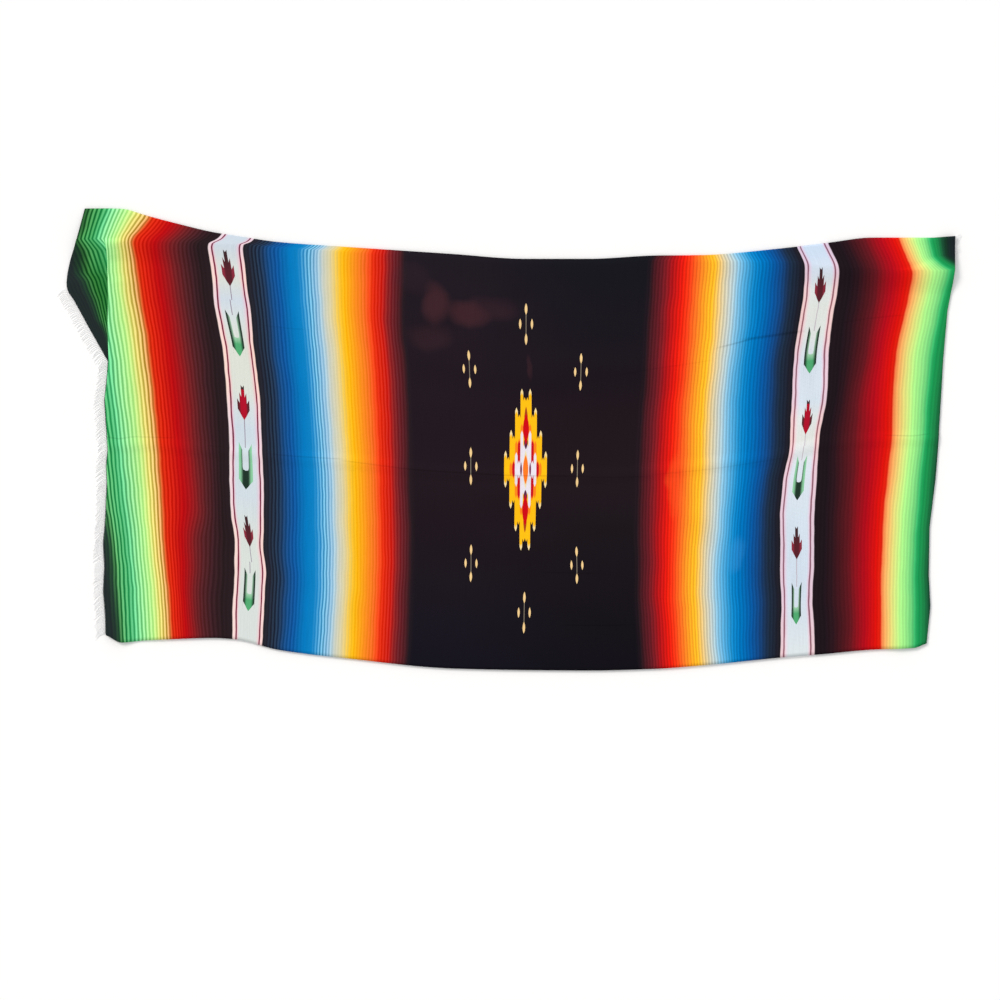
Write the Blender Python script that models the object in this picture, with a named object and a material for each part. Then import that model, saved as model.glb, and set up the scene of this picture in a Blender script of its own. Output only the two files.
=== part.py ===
"""A Mexican serape laid flat: one woven web with tucked and turned ends, and the warp fringe that shows.

X runs along the web and across its stripes, Y runs along the stripes, and Z is up. The floor is z = 0.
"""

import math

import bpy
import numpy as np

# Driving dimensions, in metres.
HALF_LENGTH = 1.061  # woven length from the middle of the web to either end
WALL = 0.002  # thickness of the woven web
REST = WALL / 2  # height of the web's middle where it lies on the floor
BEND = 0.0016  # radius of a fold, measured at the middle of the wall
CREASE = 0.94  # share of the width, from the bottom edge, at which the top strip is creased
MIDDLE_CREASE = 0.475  # share of the width at which the storage crease runs
STRIP_SLOPE = 0.13  # rise of the top strip from the top edge up to its crease
CREASE_FOOT = 0.060  # width of the soft slope below the top crease
MIDDLE_RISE = 0.003  # height of the storage crease
MIDDLE_FOOT = 0.024  # width of the storage crease, to each side
LIFT_EASE = 0.060  # length over which the web comes down beside the layers under it
LIFT_MARGIN = 0.008  # how far the web stays up past the layers under it
LOOSE_END = 0.003  # shortest run left past a fold

# The web's long sides and creases, at stations along it: heights in Y, and the width of the top strip.
SIDES = (
    ("along", "top", "strip", "crease", "bottom"),
    (-1.100, 0.613, 0.074, 0.042, -0.405),
    (-1.010, 0.614, 0.074, 0.044, -0.409),
    (-0.970, 0.613, 0.072, 0.046, -0.428),
    (-0.914, 0.598, 0.062, 0.050, -0.427),
    (-0.850, 0.583, 0.048, 0.043, -0.419),
    (-0.750, 0.559, 0.028, 0.033, -0.414),
    (-0.700, 0.549, 0.021, 0.029, -0.419),
    (-0.590, 0.536, 0.014, 0.017, -0.445),
    (-0.420, 0.522, 0.012, 0.005, -0.469),
    (-0.180, 0.505, 0.012, -0.020, -0.486),
    (0.000, 0.493, 0.012, -0.026, -0.493),
    (0.150, 0.491, 0.012, -0.029, -0.492),
    (0.310, 0.501, 0.012, -0.017, -0.486),
    (0.420, 0.502, 0.015, -0.004, -0.479),
    (0.610, 0.518, 0.034, 0.022, -0.462),
    (0.720, 0.531, 0.056, 0.050, -0.454),
    (0.830, 0.544, 0.075, 0.058, -0.444),
    (0.930, 0.544, 0.080, 0.062, -0.440),
    (0.965, 0.544, 0.080, 0.062, -0.428),
    (1.040, 0.548, 0.081, 0.062, -0.425),
)

# How far a woven line has moved along X from where a straight web would have it, at shares of the width.
# Each line is named by its side, and its place from the middle of the web heads the second row.
LEANS = (
    ("share", "red_l", "band_l", "core_l", "field_l", "field_r", "core_r", "band_r", "red_r"),
    (None, -0.878, -0.708, -0.629, -0.278, 0.278, 0.629, 0.708, 0.878),
    (0.00, 0.029, 0.005, -0.002, -0.031, -0.012, -0.010, -0.024, -0.023),
    (0.12, 0.024, 0.007, 0.008, -0.022, -0.010, -0.012, -0.019, -0.024),
    (0.25, 0.014, 0.010, -0.002, -0.010, -0.010, -0.014, -0.014, -0.019),
    (0.37, 0.007, 0.000, 0.005, -0.002, -0.008, -0.014, -0.011, -0.013),
    (0.50, -0.005, 0.000, -0.001, 0.000, -0.006, 0.002, -0.004, 0.000),
    (0.62, -0.014, -0.008, -0.008, -0.007, 0.000, 0.012, 0.018, 0.007),
    (0.75, -0.031, -0.013, -0.023, -0.012, 0.010, 0.018, 0.023, 0.019),
    (0.85, -0.048, -0.034, -0.031, -0.017, 0.019, 0.031, 0.034, 0.040),
    (0.94, -0.062, -0.049, -0.042, -0.019, 0.026, 0.043, 0.043, 0.052),
    (1.00, -0.038, -0.019, -0.029, -0.019, 0.034, 0.026, 0.019, 0.022),
)

# The left end at shares of the width. The front layer folds at x = fold, where the woven place is woven.
# turn is the tuck's share of a full fold, tuck its overlap, and flap how far the end shows past the fold.
# hem is what is turned under past the flap, and hem_turn its share of a full fold.
LEFT_END = (
    ("share", "fold", "woven", "turn", "tuck", "flap", "hem", "hem_turn"),
    (0.000, -1.012, -1.040, 1.0, 0.009, -0.004, 0.003, 0.0),
    (0.095, -1.014, -1.037, 1.0, 0.010, -0.004, 0.003, 0.0),
    (0.218, -1.010, -1.031, 1.0, 0.013, -0.004, 0.003, 0.0),
    (0.342, -1.010, -1.022, 1.0, 0.017, -0.004, 0.003, 0.0),
    (0.465, -1.007, -1.007, 1.0, 0.024, -0.004, 0.003, 0.0),
    (0.579, -1.012, -1.003, 1.0, 0.026, -0.004, 0.003, 0.0),
    (0.665, -1.006, -0.989, 1.0, 0.029, -0.004, 0.003, 0.0),
    (0.737, -1.003, -0.974, 1.0, 0.020, 0.037, 0.003, 0.0),
    (0.805, -1.002, -0.960, 1.0, 0.012, 0.070, 0.003, 0.0),
    (0.845, -1.002, -0.955, 1.0, 0.008, 0.090, 0.003, 0.0),
    (0.865, -1.003, -0.951, 1.0, 0.005, 0.088, 0.004, 1.0),
    (0.892, -1.003, -0.948, 1.0, 0.003, 0.087, 0.024, 1.0),
    (0.940, -1.009, -0.943, 0.0, 0.003, 0.053, 0.054, 1.0),
    (1.000, -1.009, -0.943, 0.0, 0.003, 0.033, 0.064, 1.0),
)

# The right end, which is turned straight under below its top corner.
RIGHT_END = (
    ("share", "fold", "woven"),
    (0.000, 0.962, 0.986),
    (0.085, 0.972, 0.996),
    (0.160, 0.970, 0.994),
    (0.270, 0.972, 0.990),
    (0.378, 0.985, 0.996),
    (0.448, 0.991, 0.994),
    (0.620, 1.001, 0.991),
    (0.699, 1.006, 0.989),
    (0.829, 1.013, 0.979),
    (0.940, 1.030, 0.977),
    (0.965, 1.030, 1.053),
    (1.000, 1.031, 1.053),
)
TURNED_FULLY = 0.008  # length past a fold at which it lies right over

# Faces across the width, from share to share, and along the web.
ROW_SPANS = (
    (0.0, 0.44, 9),
    (0.44, 0.475, 2),
    (0.475, 0.51, 2),
    (0.51, 0.65, 4),
    (0.65, 0.86, 8),
    (0.86, 0.94, 6),
    (0.94, 0.965, 3),
    (0.965, 1.0, 3),
)
BODY_FACES = 24
LIFT_FACES = 5
BEND_FACES = 5
RUN_FACES = 2

# Fringe: the ends of the warp, lying on the floor.
GAP = 0.0005  # parting between the web's edge and the backing strip
STRIP_WIDTH = 0.003
STRIP_HALF_HEIGHT = 0.0007
STRAND_PITCH = 0.0072
STRAND_WIDTH = 0.0022
STRAND_LENGTH = 0.030
STRAND_FACES = 3
STRAND_TIP = 0.45  # width of a strand's tip, as a share of its root
LEFT_FRINGE = dict(share_low=0.004, share_high=0.845, heading=225.0)
RIGHT_FRINGE = dict(share_low=0.968, share_high=0.998, heading=25.0)

ACRYLIC = dict(color=(0.018, 0.012, 0.014, 1.0), roughness=0.85)
COTTON = dict(color=(0.80, 0.79, 0.75, 1.0), roughness=0.9)


def table(rows):
    """A table's columns by name."""
    names, *values = rows
    return {name: np.array(column, float) for name, column in zip(names, zip(*values))}


def curve(knots, values, at):
    """A smooth curve through the values, which never swings past them."""
    step = np.diff(knots)
    slope = np.diff(values) / step
    tangent = np.zeros(len(knots))
    tangent[0], tangent[-1] = slope[0], slope[-1]
    same = slope[:-1] * slope[1:] > 0
    tangent[1:-1][same] = 2.0 / (1.0 / slope[:-1][same] + 1.0 / slope[1:][same])
    i = np.clip(np.searchsorted(knots, at) - 1, 0, len(step) - 1)
    t = np.clip((at - knots[i]) / step[i], 0.0, 1.0)
    start, end = (1 + 2 * t) * (1 - t) ** 2, t * t * (3 - 2 * t)
    lead, trail = t * (1 - t) ** 2, t * t * (t - 1)
    return (
        start * values[i] + end * values[i + 1]
        + step[i] * (lead * tangent[i] + trail * tangent[i + 1])
    )


def ease(t):
    """Rises softly from 0 to 1."""
    t = np.clip(t, 0.0, 1.0)
    return t * t * (3 - 2 * t)


def row_of(columns, share):
    """One row of an end's table, at any share of the width."""
    return {name: np.interp(share, columns["share"], column) for name, column in columns.items()}


SIDE = table(SIDES)
LEFT = table(LEFT_END)
RIGHT = table(RIGHT_END)
LINES = np.array(LEANS[1][1:], float)
LEAN = table((LEANS[0], *LEANS[2:]))


def side(name, x):
    return curve(SIDE["along"], SIDE[name], x)


def height_in_y(x, share):
    """Y at a share of the width, between the bottom edge, the two creases and the top edge."""
    levels = (side("bottom", x), side("crease", x), side("top", x) - side("strip", x), side("top", x))
    shares = (0.0, MIDDLE_CREASE, CREASE, 1.0)
    spans = zip(levels, levels[1:], shares, shares[1:])
    inside = [low + (high - low) * (share - s0) / (s1 - s0) for low, high, s0, s1 in spans]
    return np.where(share < MIDDLE_CREASE, inside[0], np.where(share < CREASE, inside[1], inside[2]))


def ridge(x, share):
    """How high the creases raise the web."""
    y = height_in_y(x, share)
    strip = side("strip", x)
    below_top = side("top", x) - strip - y
    top_rise = STRIP_SLOPE * strip
    upper = top_rise * np.clip(1 + below_top / strip, 0.0, 1.0)
    lower = top_rise * ease(1 - below_top / CREASE_FOOT)
    from_middle = np.abs(y - side("crease", x))
    return np.where(below_top < 0, upper, lower) + MIDDLE_RISE * ease(1 - from_middle / MIDDLE_FOOT)


def lean_of(name, share):
    """A woven line's lean: straight above the top crease and curved below it."""
    rows = LEAN["share"]
    return np.where(share > CREASE, np.interp(share, rows, LEAN[name]), curve(rows, LEAN[name], share))


def walk(legs):
    """Follows legs of (length, turn in radians, faces) from a fold, and gives way, outward place and height."""
    way, outward, height, heading = [0.0], [0.0], [0.0], 0.0
    for length, turn, faces in legs:
        for _ in range(faces):
            middle = heading + turn / (2 * faces)
            way.append(way[-1] + length / faces)
            outward.append(outward[-1] + length / faces * math.cos(middle))
            height.append(height[-1] + length / faces * math.sin(middle))
            heading += turn / faces
    return np.array(way), np.array(outward), np.array(height)


def left_walk(row):
    bend = math.pi * BEND
    fold = math.pi * row["turn"]
    hem_fold = math.pi * row["hem_turn"]
    return walk((
        (bend, -fold, BEND_FACES),
        (row["tuck"], 0.0, RUN_FACES),
        (bend, fold, BEND_FACES),
        (row["tuck"] + row["flap"], 0.0, RUN_FACES + 1),
        (bend, -hem_fold, BEND_FACES),
        (row["hem"], 0.0, RUN_FACES),
    ))


def right_walk(row):
    bend = math.pi * BEND
    under = max(LOOSE_END, HALF_LENGTH - row["woven"] - bend)
    fold = math.pi * float(ease((under - LOOSE_END) / TURNED_FULLY))
    return walk(((bend, -fold, BEND_FACES), (under, 0.0, RUN_FACES + 1)))


def end_of(row, path, outward_sign):
    """An end's points past its fold, and how the front layer is held up beside it."""
    way, outward, height = path
    folded = height.min() < -BEND
    start = row["fold"] - outward_sign * folded * (outward[: BEND_FACES + 1].max() + REST)
    woven = row["woven"] + outward_sign * way * (HALF_LENGTH - abs(row["woven"])) / way[-1]
    rise = -height.min()
    under = max(0.0, -outward[height < height.max() - BEND].min(initial=0.0)) + LIFT_MARGIN
    x = start + outward_sign * outward
    z = REST + rise + height
    return dict(x=x, z=z, woven=woven, start=start, rise=rise, under=under)


def section(share):
    """One section along the web: woven place, x and height of the middle of its wall."""
    left_row, right_row = row_of(LEFT, share), row_of(RIGHT, share)
    left = end_of(left_row, left_walk(left_row), -1)
    right = end_of(right_row, right_walk(right_row), 1)
    leans = [float(lean_of(name, share)) for name in LEANS[0][1:]]
    knots = np.array([left_row["woven"], *LINES, right_row["woven"]])
    places = np.array([left["start"], *(LINES + leans), right["start"]])

    left_ease = left["under"] + LIFT_EASE
    right_ease = right["under"] + LIFT_EASE
    from_left = left_row["woven"] + np.linspace(0.0, left_ease, LIFT_FACES + 1)
    to_right = right_row["woven"] - np.linspace(right_ease, 0.0, LIFT_FACES + 1)
    body = np.linspace(from_left[-1], to_right[0], BODY_FACES + 1)
    woven = np.concatenate([from_left[:-1], body, to_right[1:]])
    x = curve(knots, places, woven)
    lift_left = left["rise"] * ease((left_row["woven"] + left_ease - woven) / LIFT_EASE)
    lift_right = right["rise"] * ease((woven - right_row["woven"] + right_ease) / LIFT_EASE)
    z = REST + lift_left + lift_right

    return (
        np.concatenate([left["woven"][:0:-1], woven, right["woven"][1:]]),
        np.concatenate([left["x"][:0:-1], x, right["x"][1:]]),
        np.concatenate([left["z"][:0:-1], z, right["z"][1:]]),
    )


def wall_points(share):
    """The outer and inner points of the wall at one section."""
    _, x, z = section(share)
    steps = np.diff(np.stack([x, z], axis=1), axis=0)
    steps /= np.linalg.norm(steps, axis=1, keepdims=True)
    along = np.concatenate([steps[:1], steps[:-1] + steps[1:], steps[-1:]])
    along /= np.linalg.norm(along, axis=1, keepdims=True)
    y = height_in_y(x, share)
    raised = z + ridge(x, share)
    half = WALL / 2
    outer = np.stack([x - along[:, 1] * half, y, raised + along[:, 0] * half], axis=1)
    inner = np.stack([x + along[:, 1] * half, y, raised - along[:, 0] * half], axis=1)
    return outer, inner


def material(name, color, roughness):
    made = bpy.data.materials.new(name)
    made.use_nodes = True
    shader = made.node_tree.nodes["Principled BSDF"]
    shader.inputs["Base Color"].default_value = color
    shader.inputs["Roughness"].default_value = roughness
    shader.inputs["Metallic"].default_value = 0.0
    return made


def add_object(name, points, faces, finish):
    mesh = bpy.data.meshes.new(name)
    mesh.from_pydata([tuple(map(float, p)) for p in points], [], faces)
    mesh.validate()
    mesh.materials.append(finish)
    made = bpy.data.objects.new(name, mesh)
    bpy.context.scene.collection.objects.link(made)
    return made


def row_shares():
    shares = [np.linspace(low, high, faces + 1)[:-1] for low, high, faces in ROW_SPANS]
    return np.append(np.concatenate(shares), 1.0)


def serape_web(finish):
    """The woven web, as a closed wall: its outer face, its inner face and the four edges."""
    rows = [wall_points(share) for share in row_shares()]
    outer = np.array([row[0] for row in rows])
    inner = np.array([row[1] for row in rows])
    down, across = outer.shape[:2]
    points = np.concatenate([outer.reshape(-1, 3), inner.reshape(-1, 3)])

    def out(i, j):
        return i * across + j

    def back(i, j):
        return down * across + i * across + j

    faces = []
    for i in range(down - 1):
        for j in range(across - 1):
            faces.append((out(i, j), out(i, j + 1), out(i + 1, j + 1), out(i + 1, j)))
            faces.append((back(i, j), back(i + 1, j), back(i + 1, j + 1), back(i, j + 1)))
        last = across - 1
        faces.append((out(i, 0), out(i + 1, 0), back(i + 1, 0), back(i, 0)))
        faces.append((out(i, last), back(i, last), back(i + 1, last), out(i + 1, last)))
    for j in range(across - 1):
        last = down - 1
        faces.append((out(0, j), back(0, j), back(0, j + 1), out(0, j + 1)))
        faces.append((out(last, j), out(last, j + 1), back(last, j + 1), back(last, j)))
    return add_object("serape_web", points, faces, finish)


def end_edge(left):
    """The web's woven end as a line of points, one at each row of the web."""
    points = []
    for share in row_shares():
        _, x, z = section(share)
        tip = 0 if left else -1
        y = height_in_y(x[tip : tip + 1 or None], share)[0]
        points.append((share, x[tip], y, z[tip] + ridge(x[tip : tip + 1 or None], share)[0]))
    return np.array(points)


def fringe(name, left, share_low, share_high, heading, finish):
    """A backing strip beside the woven end, with strands drawn out of every second face."""
    edge = end_edge(left)
    sign = -1 if left else 1
    low, high = (np.interp(share, edge[:, 0], edge[:, 2]) for share in (share_low, share_high))
    count = max(3, round((high - low) / STRAND_PITCH))
    pitch = (high - low) / count
    stations = []
    for k in range(count):
        centre = low + (k + 0.5) * pitch
        stations += [centre - STRAND_WIDTH / 2, centre + STRAND_WIDTH / 2]
    stations = np.array([low, *stations, high])
    near = np.interp(stations, edge[:, 2], edge[:, 1]) + sign * GAP
    z = np.interp(stations, edge[:, 2], edge[:, 3])
    points, faces = [], []
    for x, y, mid in zip(near, stations, z):
        far = x + sign * STRIP_WIDTH
        points += [(x, y, mid - STRIP_HALF_HEIGHT), (x, y, mid + STRIP_HALF_HEIGHT)]
        points += [(far, y, mid + STRIP_HALF_HEIGHT), (far, y, mid - STRIP_HALF_HEIGHT)]
    last = len(stations) - 1
    faces.append((0, 1, 2, 3))
    faces.append((4 * last + 3, 4 * last + 2, 4 * last + 1, 4 * last))
    for i in range(last):
        a, b = 4 * i, 4 * (i + 1)
        for p in range(4):
            q = (p + 1) % 4
            if p == 2 and i % 2 == 1:
                root = (a + 2, b + 2, b + 3, a + 3)
                centre = np.mean([points[r] for r in root], axis=0)
                add_strand(points, faces, root, centre, heading + strand_wander(i // 2))
            else:
                faces.append((a + p, b + p, b + q, a + q))
    if not left:
        faces = [face[::-1] for face in faces]
    return add_object(name, points, faces, finish)


def strand_wander(k):
    """Degrees by which a strand turns from its neighbours' heading, in slow waves."""
    return 6.0 * math.sin(0.23 * k) + 3.0 * math.sin(0.61 * k + 1.0)


def add_strand(points, faces, root, centre, heading):
    """Draws a tapering strand out of a root face, curving to its heading as it leaves."""
    corners = np.array([points[r] for r in root])
    around = corners - centre
    outward = 180.0 if heading > 90.0 else 0.0
    place = centre.copy()
    ring = root
    for step in range(1, STRAND_FACES + 1):
        share = step / STRAND_FACES
        angle = math.radians(outward + (heading - outward) * min(1.0, 0.4 + share))
        turn = angle - math.radians(outward)
        place = place + STRAND_LENGTH / STRAND_FACES * np.array([math.cos(angle), math.sin(angle), 0.0])
        size = 1.0 + (STRAND_TIP - 1.0) * share
        turned = np.stack(
            [-around[:, 1] * math.sin(turn), around[:, 1] * math.cos(turn), around[:, 2]], axis=1
        )
        first = len(points)
        points += [tuple(place + size * offset) for offset in turned]
        new = tuple(range(first, first + 4))
        for p in range(4):
            q = (p + 1) % 4
            faces.append((ring[p], ring[q], new[q], new[p]))
        ring = new
    faces.append(ring)


def centre_on_floor(made):
    """Moves everything so that the origin is under the middle of the whole."""
    corners = np.array([tuple(v.co) for piece in made for v in piece.data.vertices])
    middle = (corners.min(axis=0) + corners.max(axis=0)) / 2
    for piece in made:
        for vertex in piece.data.vertices:
            vertex.co.x -= middle[0]
            vertex.co.y -= middle[1]


def main():
    for old in list(bpy.data.objects):
        bpy.data.objects.remove(old, do_unlink=True)
    woven_acrylic = material("woven_acrylic", **ACRYLIC)
    cotton_warp = material("cotton_warp", **COTTON)
    web = serape_web(woven_acrylic)
    left = fringe("fringe_left", True, finish=cotton_warp, **LEFT_FRINGE)
    right = fringe("fringe_right", False, finish=cotton_warp, **RIGHT_FRINGE)
    centre_on_floor((web, left, right))


main()
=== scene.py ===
"""A Mexican serape laid flat: a weft-faced web with ombre stripes and inlaid motifs, and its warp fringe.

X runs along the web and across its stripes, Y runs along the stripes, and Z is up. Sizes are in metres.
"""

import math

import bpy
import numpy as np
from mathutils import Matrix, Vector


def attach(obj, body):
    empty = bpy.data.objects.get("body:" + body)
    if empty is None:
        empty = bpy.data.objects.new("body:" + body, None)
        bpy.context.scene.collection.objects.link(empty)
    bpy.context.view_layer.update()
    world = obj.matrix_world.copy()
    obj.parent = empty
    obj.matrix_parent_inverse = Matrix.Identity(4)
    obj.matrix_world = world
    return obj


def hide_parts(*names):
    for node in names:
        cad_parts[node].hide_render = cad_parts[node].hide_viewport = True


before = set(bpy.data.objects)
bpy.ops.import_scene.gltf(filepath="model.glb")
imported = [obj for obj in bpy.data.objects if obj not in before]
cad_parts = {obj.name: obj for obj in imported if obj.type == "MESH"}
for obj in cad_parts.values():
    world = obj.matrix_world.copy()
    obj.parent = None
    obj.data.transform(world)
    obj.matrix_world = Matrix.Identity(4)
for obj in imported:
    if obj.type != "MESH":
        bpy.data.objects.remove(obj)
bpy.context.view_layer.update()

# The web's cut and wall.
WEB_PLACE = (0.0253, -0.0605, 0.0)  # where the middle of the web's stripes lies in the shared frame
WOVEN_ENDS = (-1.090, 1.061)  # woven places of the left end and the right one, from the middle of the web
WIDTH = 1.0  # woven width, from the bottom edge to the top one
WALL = 0.002  # thickness of the woven web
REST = WALL / 2  # height of the web's middle where it lies on the floor
BEND = 0.0016  # radius of a fold, measured at the middle of the wall

# Creases, and how the web rises to them and over the layers turned under its ends. Shares are of the width,
# from the bottom edge.
CREASE = 0.94  # share at which the top strip is creased
MIDDLE_CREASE = 0.475  # share at which the storage crease runs
LEVELS = (0.0, MIDDLE_CREASE, CREASE, 1.0)  # shares at the edges and the creases
ROUNDING = 0.010  # share over which the stripes turn at the top crease
ROUNDING_SAMPLES = 5
STEP_EASE = 0.09  # share above a place over which the left end's height is evened out
STEP_SAMPLES = 9
STRIP_SLOPE = 0.13  # rise of the top strip from the top edge up to its crease
CREASE_FOOT = 0.060  # width of the soft slope below the top crease
MIDDLE_RISE = 0.002  # height of the storage crease
MIDDLE_FOOT = 0.024  # width of the storage crease, to each side
LIFT_EASE = 0.060  # length over which the web comes down beside the layers under it
LIFT_MARGIN = 0.008  # how far the web stays up past the layers under it
LOOSE_END = 0.003  # shortest run left past a fold
TURNED_FULLY = 0.008  # length past a fold at which it lies right over
HIDDEN_MOST = 0.9  # most of the left end past its fold that the tuck can hide, as a share

# The web's long sides and its storage crease, at stations along it: their places in Y, and the width of the
# strip above the top crease.
SIDES = (
    ("along", "top", "strip", "crease", "bottom"),
    (-1.100, 0.613, 0.074, 0.042, -0.405),
    (-1.010, 0.614, 0.074, 0.044, -0.409),
    (-0.970, 0.613, 0.072, 0.046, -0.427),
    (-0.914, 0.598, 0.062, 0.050, -0.422),
    (-0.850, 0.581, 0.048, 0.043, -0.419),
    (-0.750, 0.557, 0.028, 0.033, -0.416),
    (-0.700, 0.549, 0.021, 0.029, -0.419),
    (-0.590, 0.533, 0.014, 0.017, -0.445),
    (-0.420, 0.521, 0.012, 0.005, -0.466),
    (-0.180, 0.505, 0.012, -0.020, -0.489),
    (0.000, 0.493, 0.012, -0.026, -0.493),
    (0.150, 0.493, 0.012, -0.029, -0.494),
    (0.310, 0.501, 0.012, -0.017, -0.490),
    (0.420, 0.502, 0.015, -0.004, -0.482),
    (0.610, 0.518, 0.034, 0.022, -0.463),
    (0.720, 0.531, 0.056, 0.050, -0.454),
    (0.830, 0.544, 0.075, 0.058, -0.444),
    (0.930, 0.544, 0.080, 0.062, -0.440),
    (0.965, 0.544, 0.080, 0.062, -0.428),
    (1.040, 0.548, 0.081, 0.062, -0.425),
)

# How far each woven line has moved along X from where a straight web would have it, in millimetres. The
# lines are named for their colours on the left and the right, and the second row gives their woven places.
LEANS = (
    ("share", "red_l", "wine_l", "band_l", "core_l", "cream_l", "field_l",
     "middle", "field_r", "cream_r", "core_r", "band_r", "wine_r", "red_r"),
    (None, -0.878, -0.775, -0.708, -0.629, -0.475, -0.278, 0.0, 0.278, 0.475, 0.629, 0.708, 0.775, 0.878),
    (0.00, 29, 0, 5, -4, -4, -4, -6, -4, -9, -20, -17, -13, -25),
    (0.06, 26, -5, 4, 0, -1, 0, -6, -7, -14, -19, -18, -10, -25),
    (0.12, 22, -7, 7, 3, 2, 2, -5, -11, -14, -17, -23, -13, -25),
    (0.18, 17, -3, 10, 5, 6, 4, -4, -14, -19, -20, -20, -15, -24),
    (0.25, 11, -3, 10, -1, 6, 7, -3, -13, -16, -21, -17, -16, -21),
    (0.32, 8, 7, 1, 1, 4, 7, -3, -15, -10, -21, -16, -12, -17),
    (0.40, 3, 4, -3, 1, 3, 5, -2, -14, -4, -15, -12, -8, -8),
    (0.50, -5, -5, -3, -4, -2, 3, -1, -11, 2, 3, -5, -4, 2),
    (0.60, -15, -14, -10, -8, -10, 1, 0, -5, 5, 7, 13, 6, 4),
    (0.70, -27, -26, -17, -21, -17, -4, 0, 4, 14, 11, 17, 23, 10),
    (0.80, -44, -40, -38, -32, -27, -14, 0, 8, 27, 27, 27, 35, 27),
    (0.88, -56, -52, -46, -43, -32, -11, 0, 15, 32, 36, 39, 47, 43),
    (0.94, -64, -59, -55, -49, -33, -10, 0, 19, 37, 39, 42, 48, 49),
    (0.965, -42, -38, -32, -31, -24, -10, 0, 23, 32, 31, 30, 35, 35),
    (1.00, -20, -22, -20, -22, -16, -10, 0, 27, 26, 19, 14, 18, 16),
)

# The left end at shares of the width. The front layer folds at x = fold, where the woven place is woven.
# shown is the woven place that comes out again past the fold, where the hidden tuck ends. turn is the
# tuck's share of a full fold, tuck its overlap, and flap how far the end shows past the fold, below zero
# where it stays hidden. hem is what is turned under past the flap, and hem_turn its share of a full fold.
LEFT_END = (
    ("share", "fold", "woven", "shown", "turn", "tuck", "flap", "hem", "hem_turn"),
    (0.000, -1.007, -1.036, -1.060, 1.0, 0.009, -0.004, 0.003, 0.0),
    (0.050, -1.008, -1.034, -1.060, 1.0, 0.009, -0.004, 0.003, 0.0),
    (0.110, -1.013, -1.036, -1.060, 1.0, 0.010, -0.004, 0.003, 0.0),
    (0.170, -1.010, -1.032, -1.058, 1.0, 0.012, -0.004, 0.003, 0.0),
    (0.230, -1.013, -1.032, -1.056, 1.0, 0.013, -0.004, 0.003, 0.0),
    (0.290, -1.008, -1.018, -1.050, 1.0, 0.015, -0.004, 0.003, 0.0),
    (0.342, -1.006, -1.008, -1.045, 1.0, 0.017, -0.004, 0.003, 0.0),
    (0.385, -1.004, -1.002, -1.042, 1.0, 0.020, -0.004, 0.003, 0.0),
    (0.425, -1.006, -1.000, -1.040, 1.0, 0.022, -0.004, 0.003, 0.0),
    (0.465, -1.002, -0.992, -1.036, 1.0, 0.024, -0.004, 0.003, 0.0),
    (0.535, -1.007, -0.988, -1.032, 1.0, 0.025, -0.004, 0.003, 0.0),
    (0.579, -1.010, -0.985, -1.030, 1.0, 0.026, -0.004, 0.003, 0.0),
    (0.620, -1.005, -0.976, -1.026, 1.0, 0.028, -0.004, 0.003, 0.0),
    (0.665, -1.001, -0.969, -1.022, 1.0, 0.029, -0.004, 0.003, 0.0),
    (0.737, -1.003, -0.960, -1.010, 1.0, 0.020, 0.037, 0.003, 0.0),
    (0.805, -1.002, -0.952, -0.995, 1.0, 0.015, 0.077, 0.003, 0.0),
    (0.822, -1.002, -0.950, -0.991, 1.0, 0.014, 0.091, 0.002, 0.0),
    (0.838, -1.002, -0.949, -0.987, 1.0, 0.013, 0.099, 0.001, 0.5),
    (0.847, -1.002, -0.948, -0.985, 1.0, 0.012, 0.100, 0.004, 1.0),
    (0.857, -1.002, -0.947, -0.982, 1.0, 0.011, 0.099, 0.018, 1.0),
    (0.865, -1.003, -0.946, -0.980, 1.0, 0.010, 0.097, 0.028, 1.0),
    (0.892, -1.003, -0.945, -0.974, 1.0, 0.006, 0.091, 0.050, 1.0),
    (0.915, -1.004, -0.946, -0.970, 0.8, 0.001, 0.079, 0.066, 1.0),
    (0.927, -1.007, -0.947, -0.966, 0.5, 0.001, 0.068, 0.070, 1.0),
    (0.940, -1.009, -0.947, -0.962, 0.0, 0.003, 0.055, 0.074, 1.0),
    (1.000, -1.009, -0.970, -0.981, 0.0, 0.003, 0.037, 0.082, 1.0),
)

# The right end, which is turned straight under below its top corner.
RIGHT_END = (
    ("share", "fold", "woven"),
    (0.000, 0.961, 0.999),
    (0.085, 0.970, 1.008),
    (0.160, 0.966, 1.006),
    (0.270, 0.968, 1.002),
    (0.378, 0.982, 1.007),
    (0.448, 0.988, 1.006),
    (0.620, 0.997, 1.000),
    (0.699, 1.001, 0.995),
    (0.829, 1.011, 0.986),
    (0.895, 1.022, 0.982),
    (0.940, 1.027, 0.977),
    (0.965, 1.028, 1.044),
    (1.000, 1.029, 1.047),
)

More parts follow.
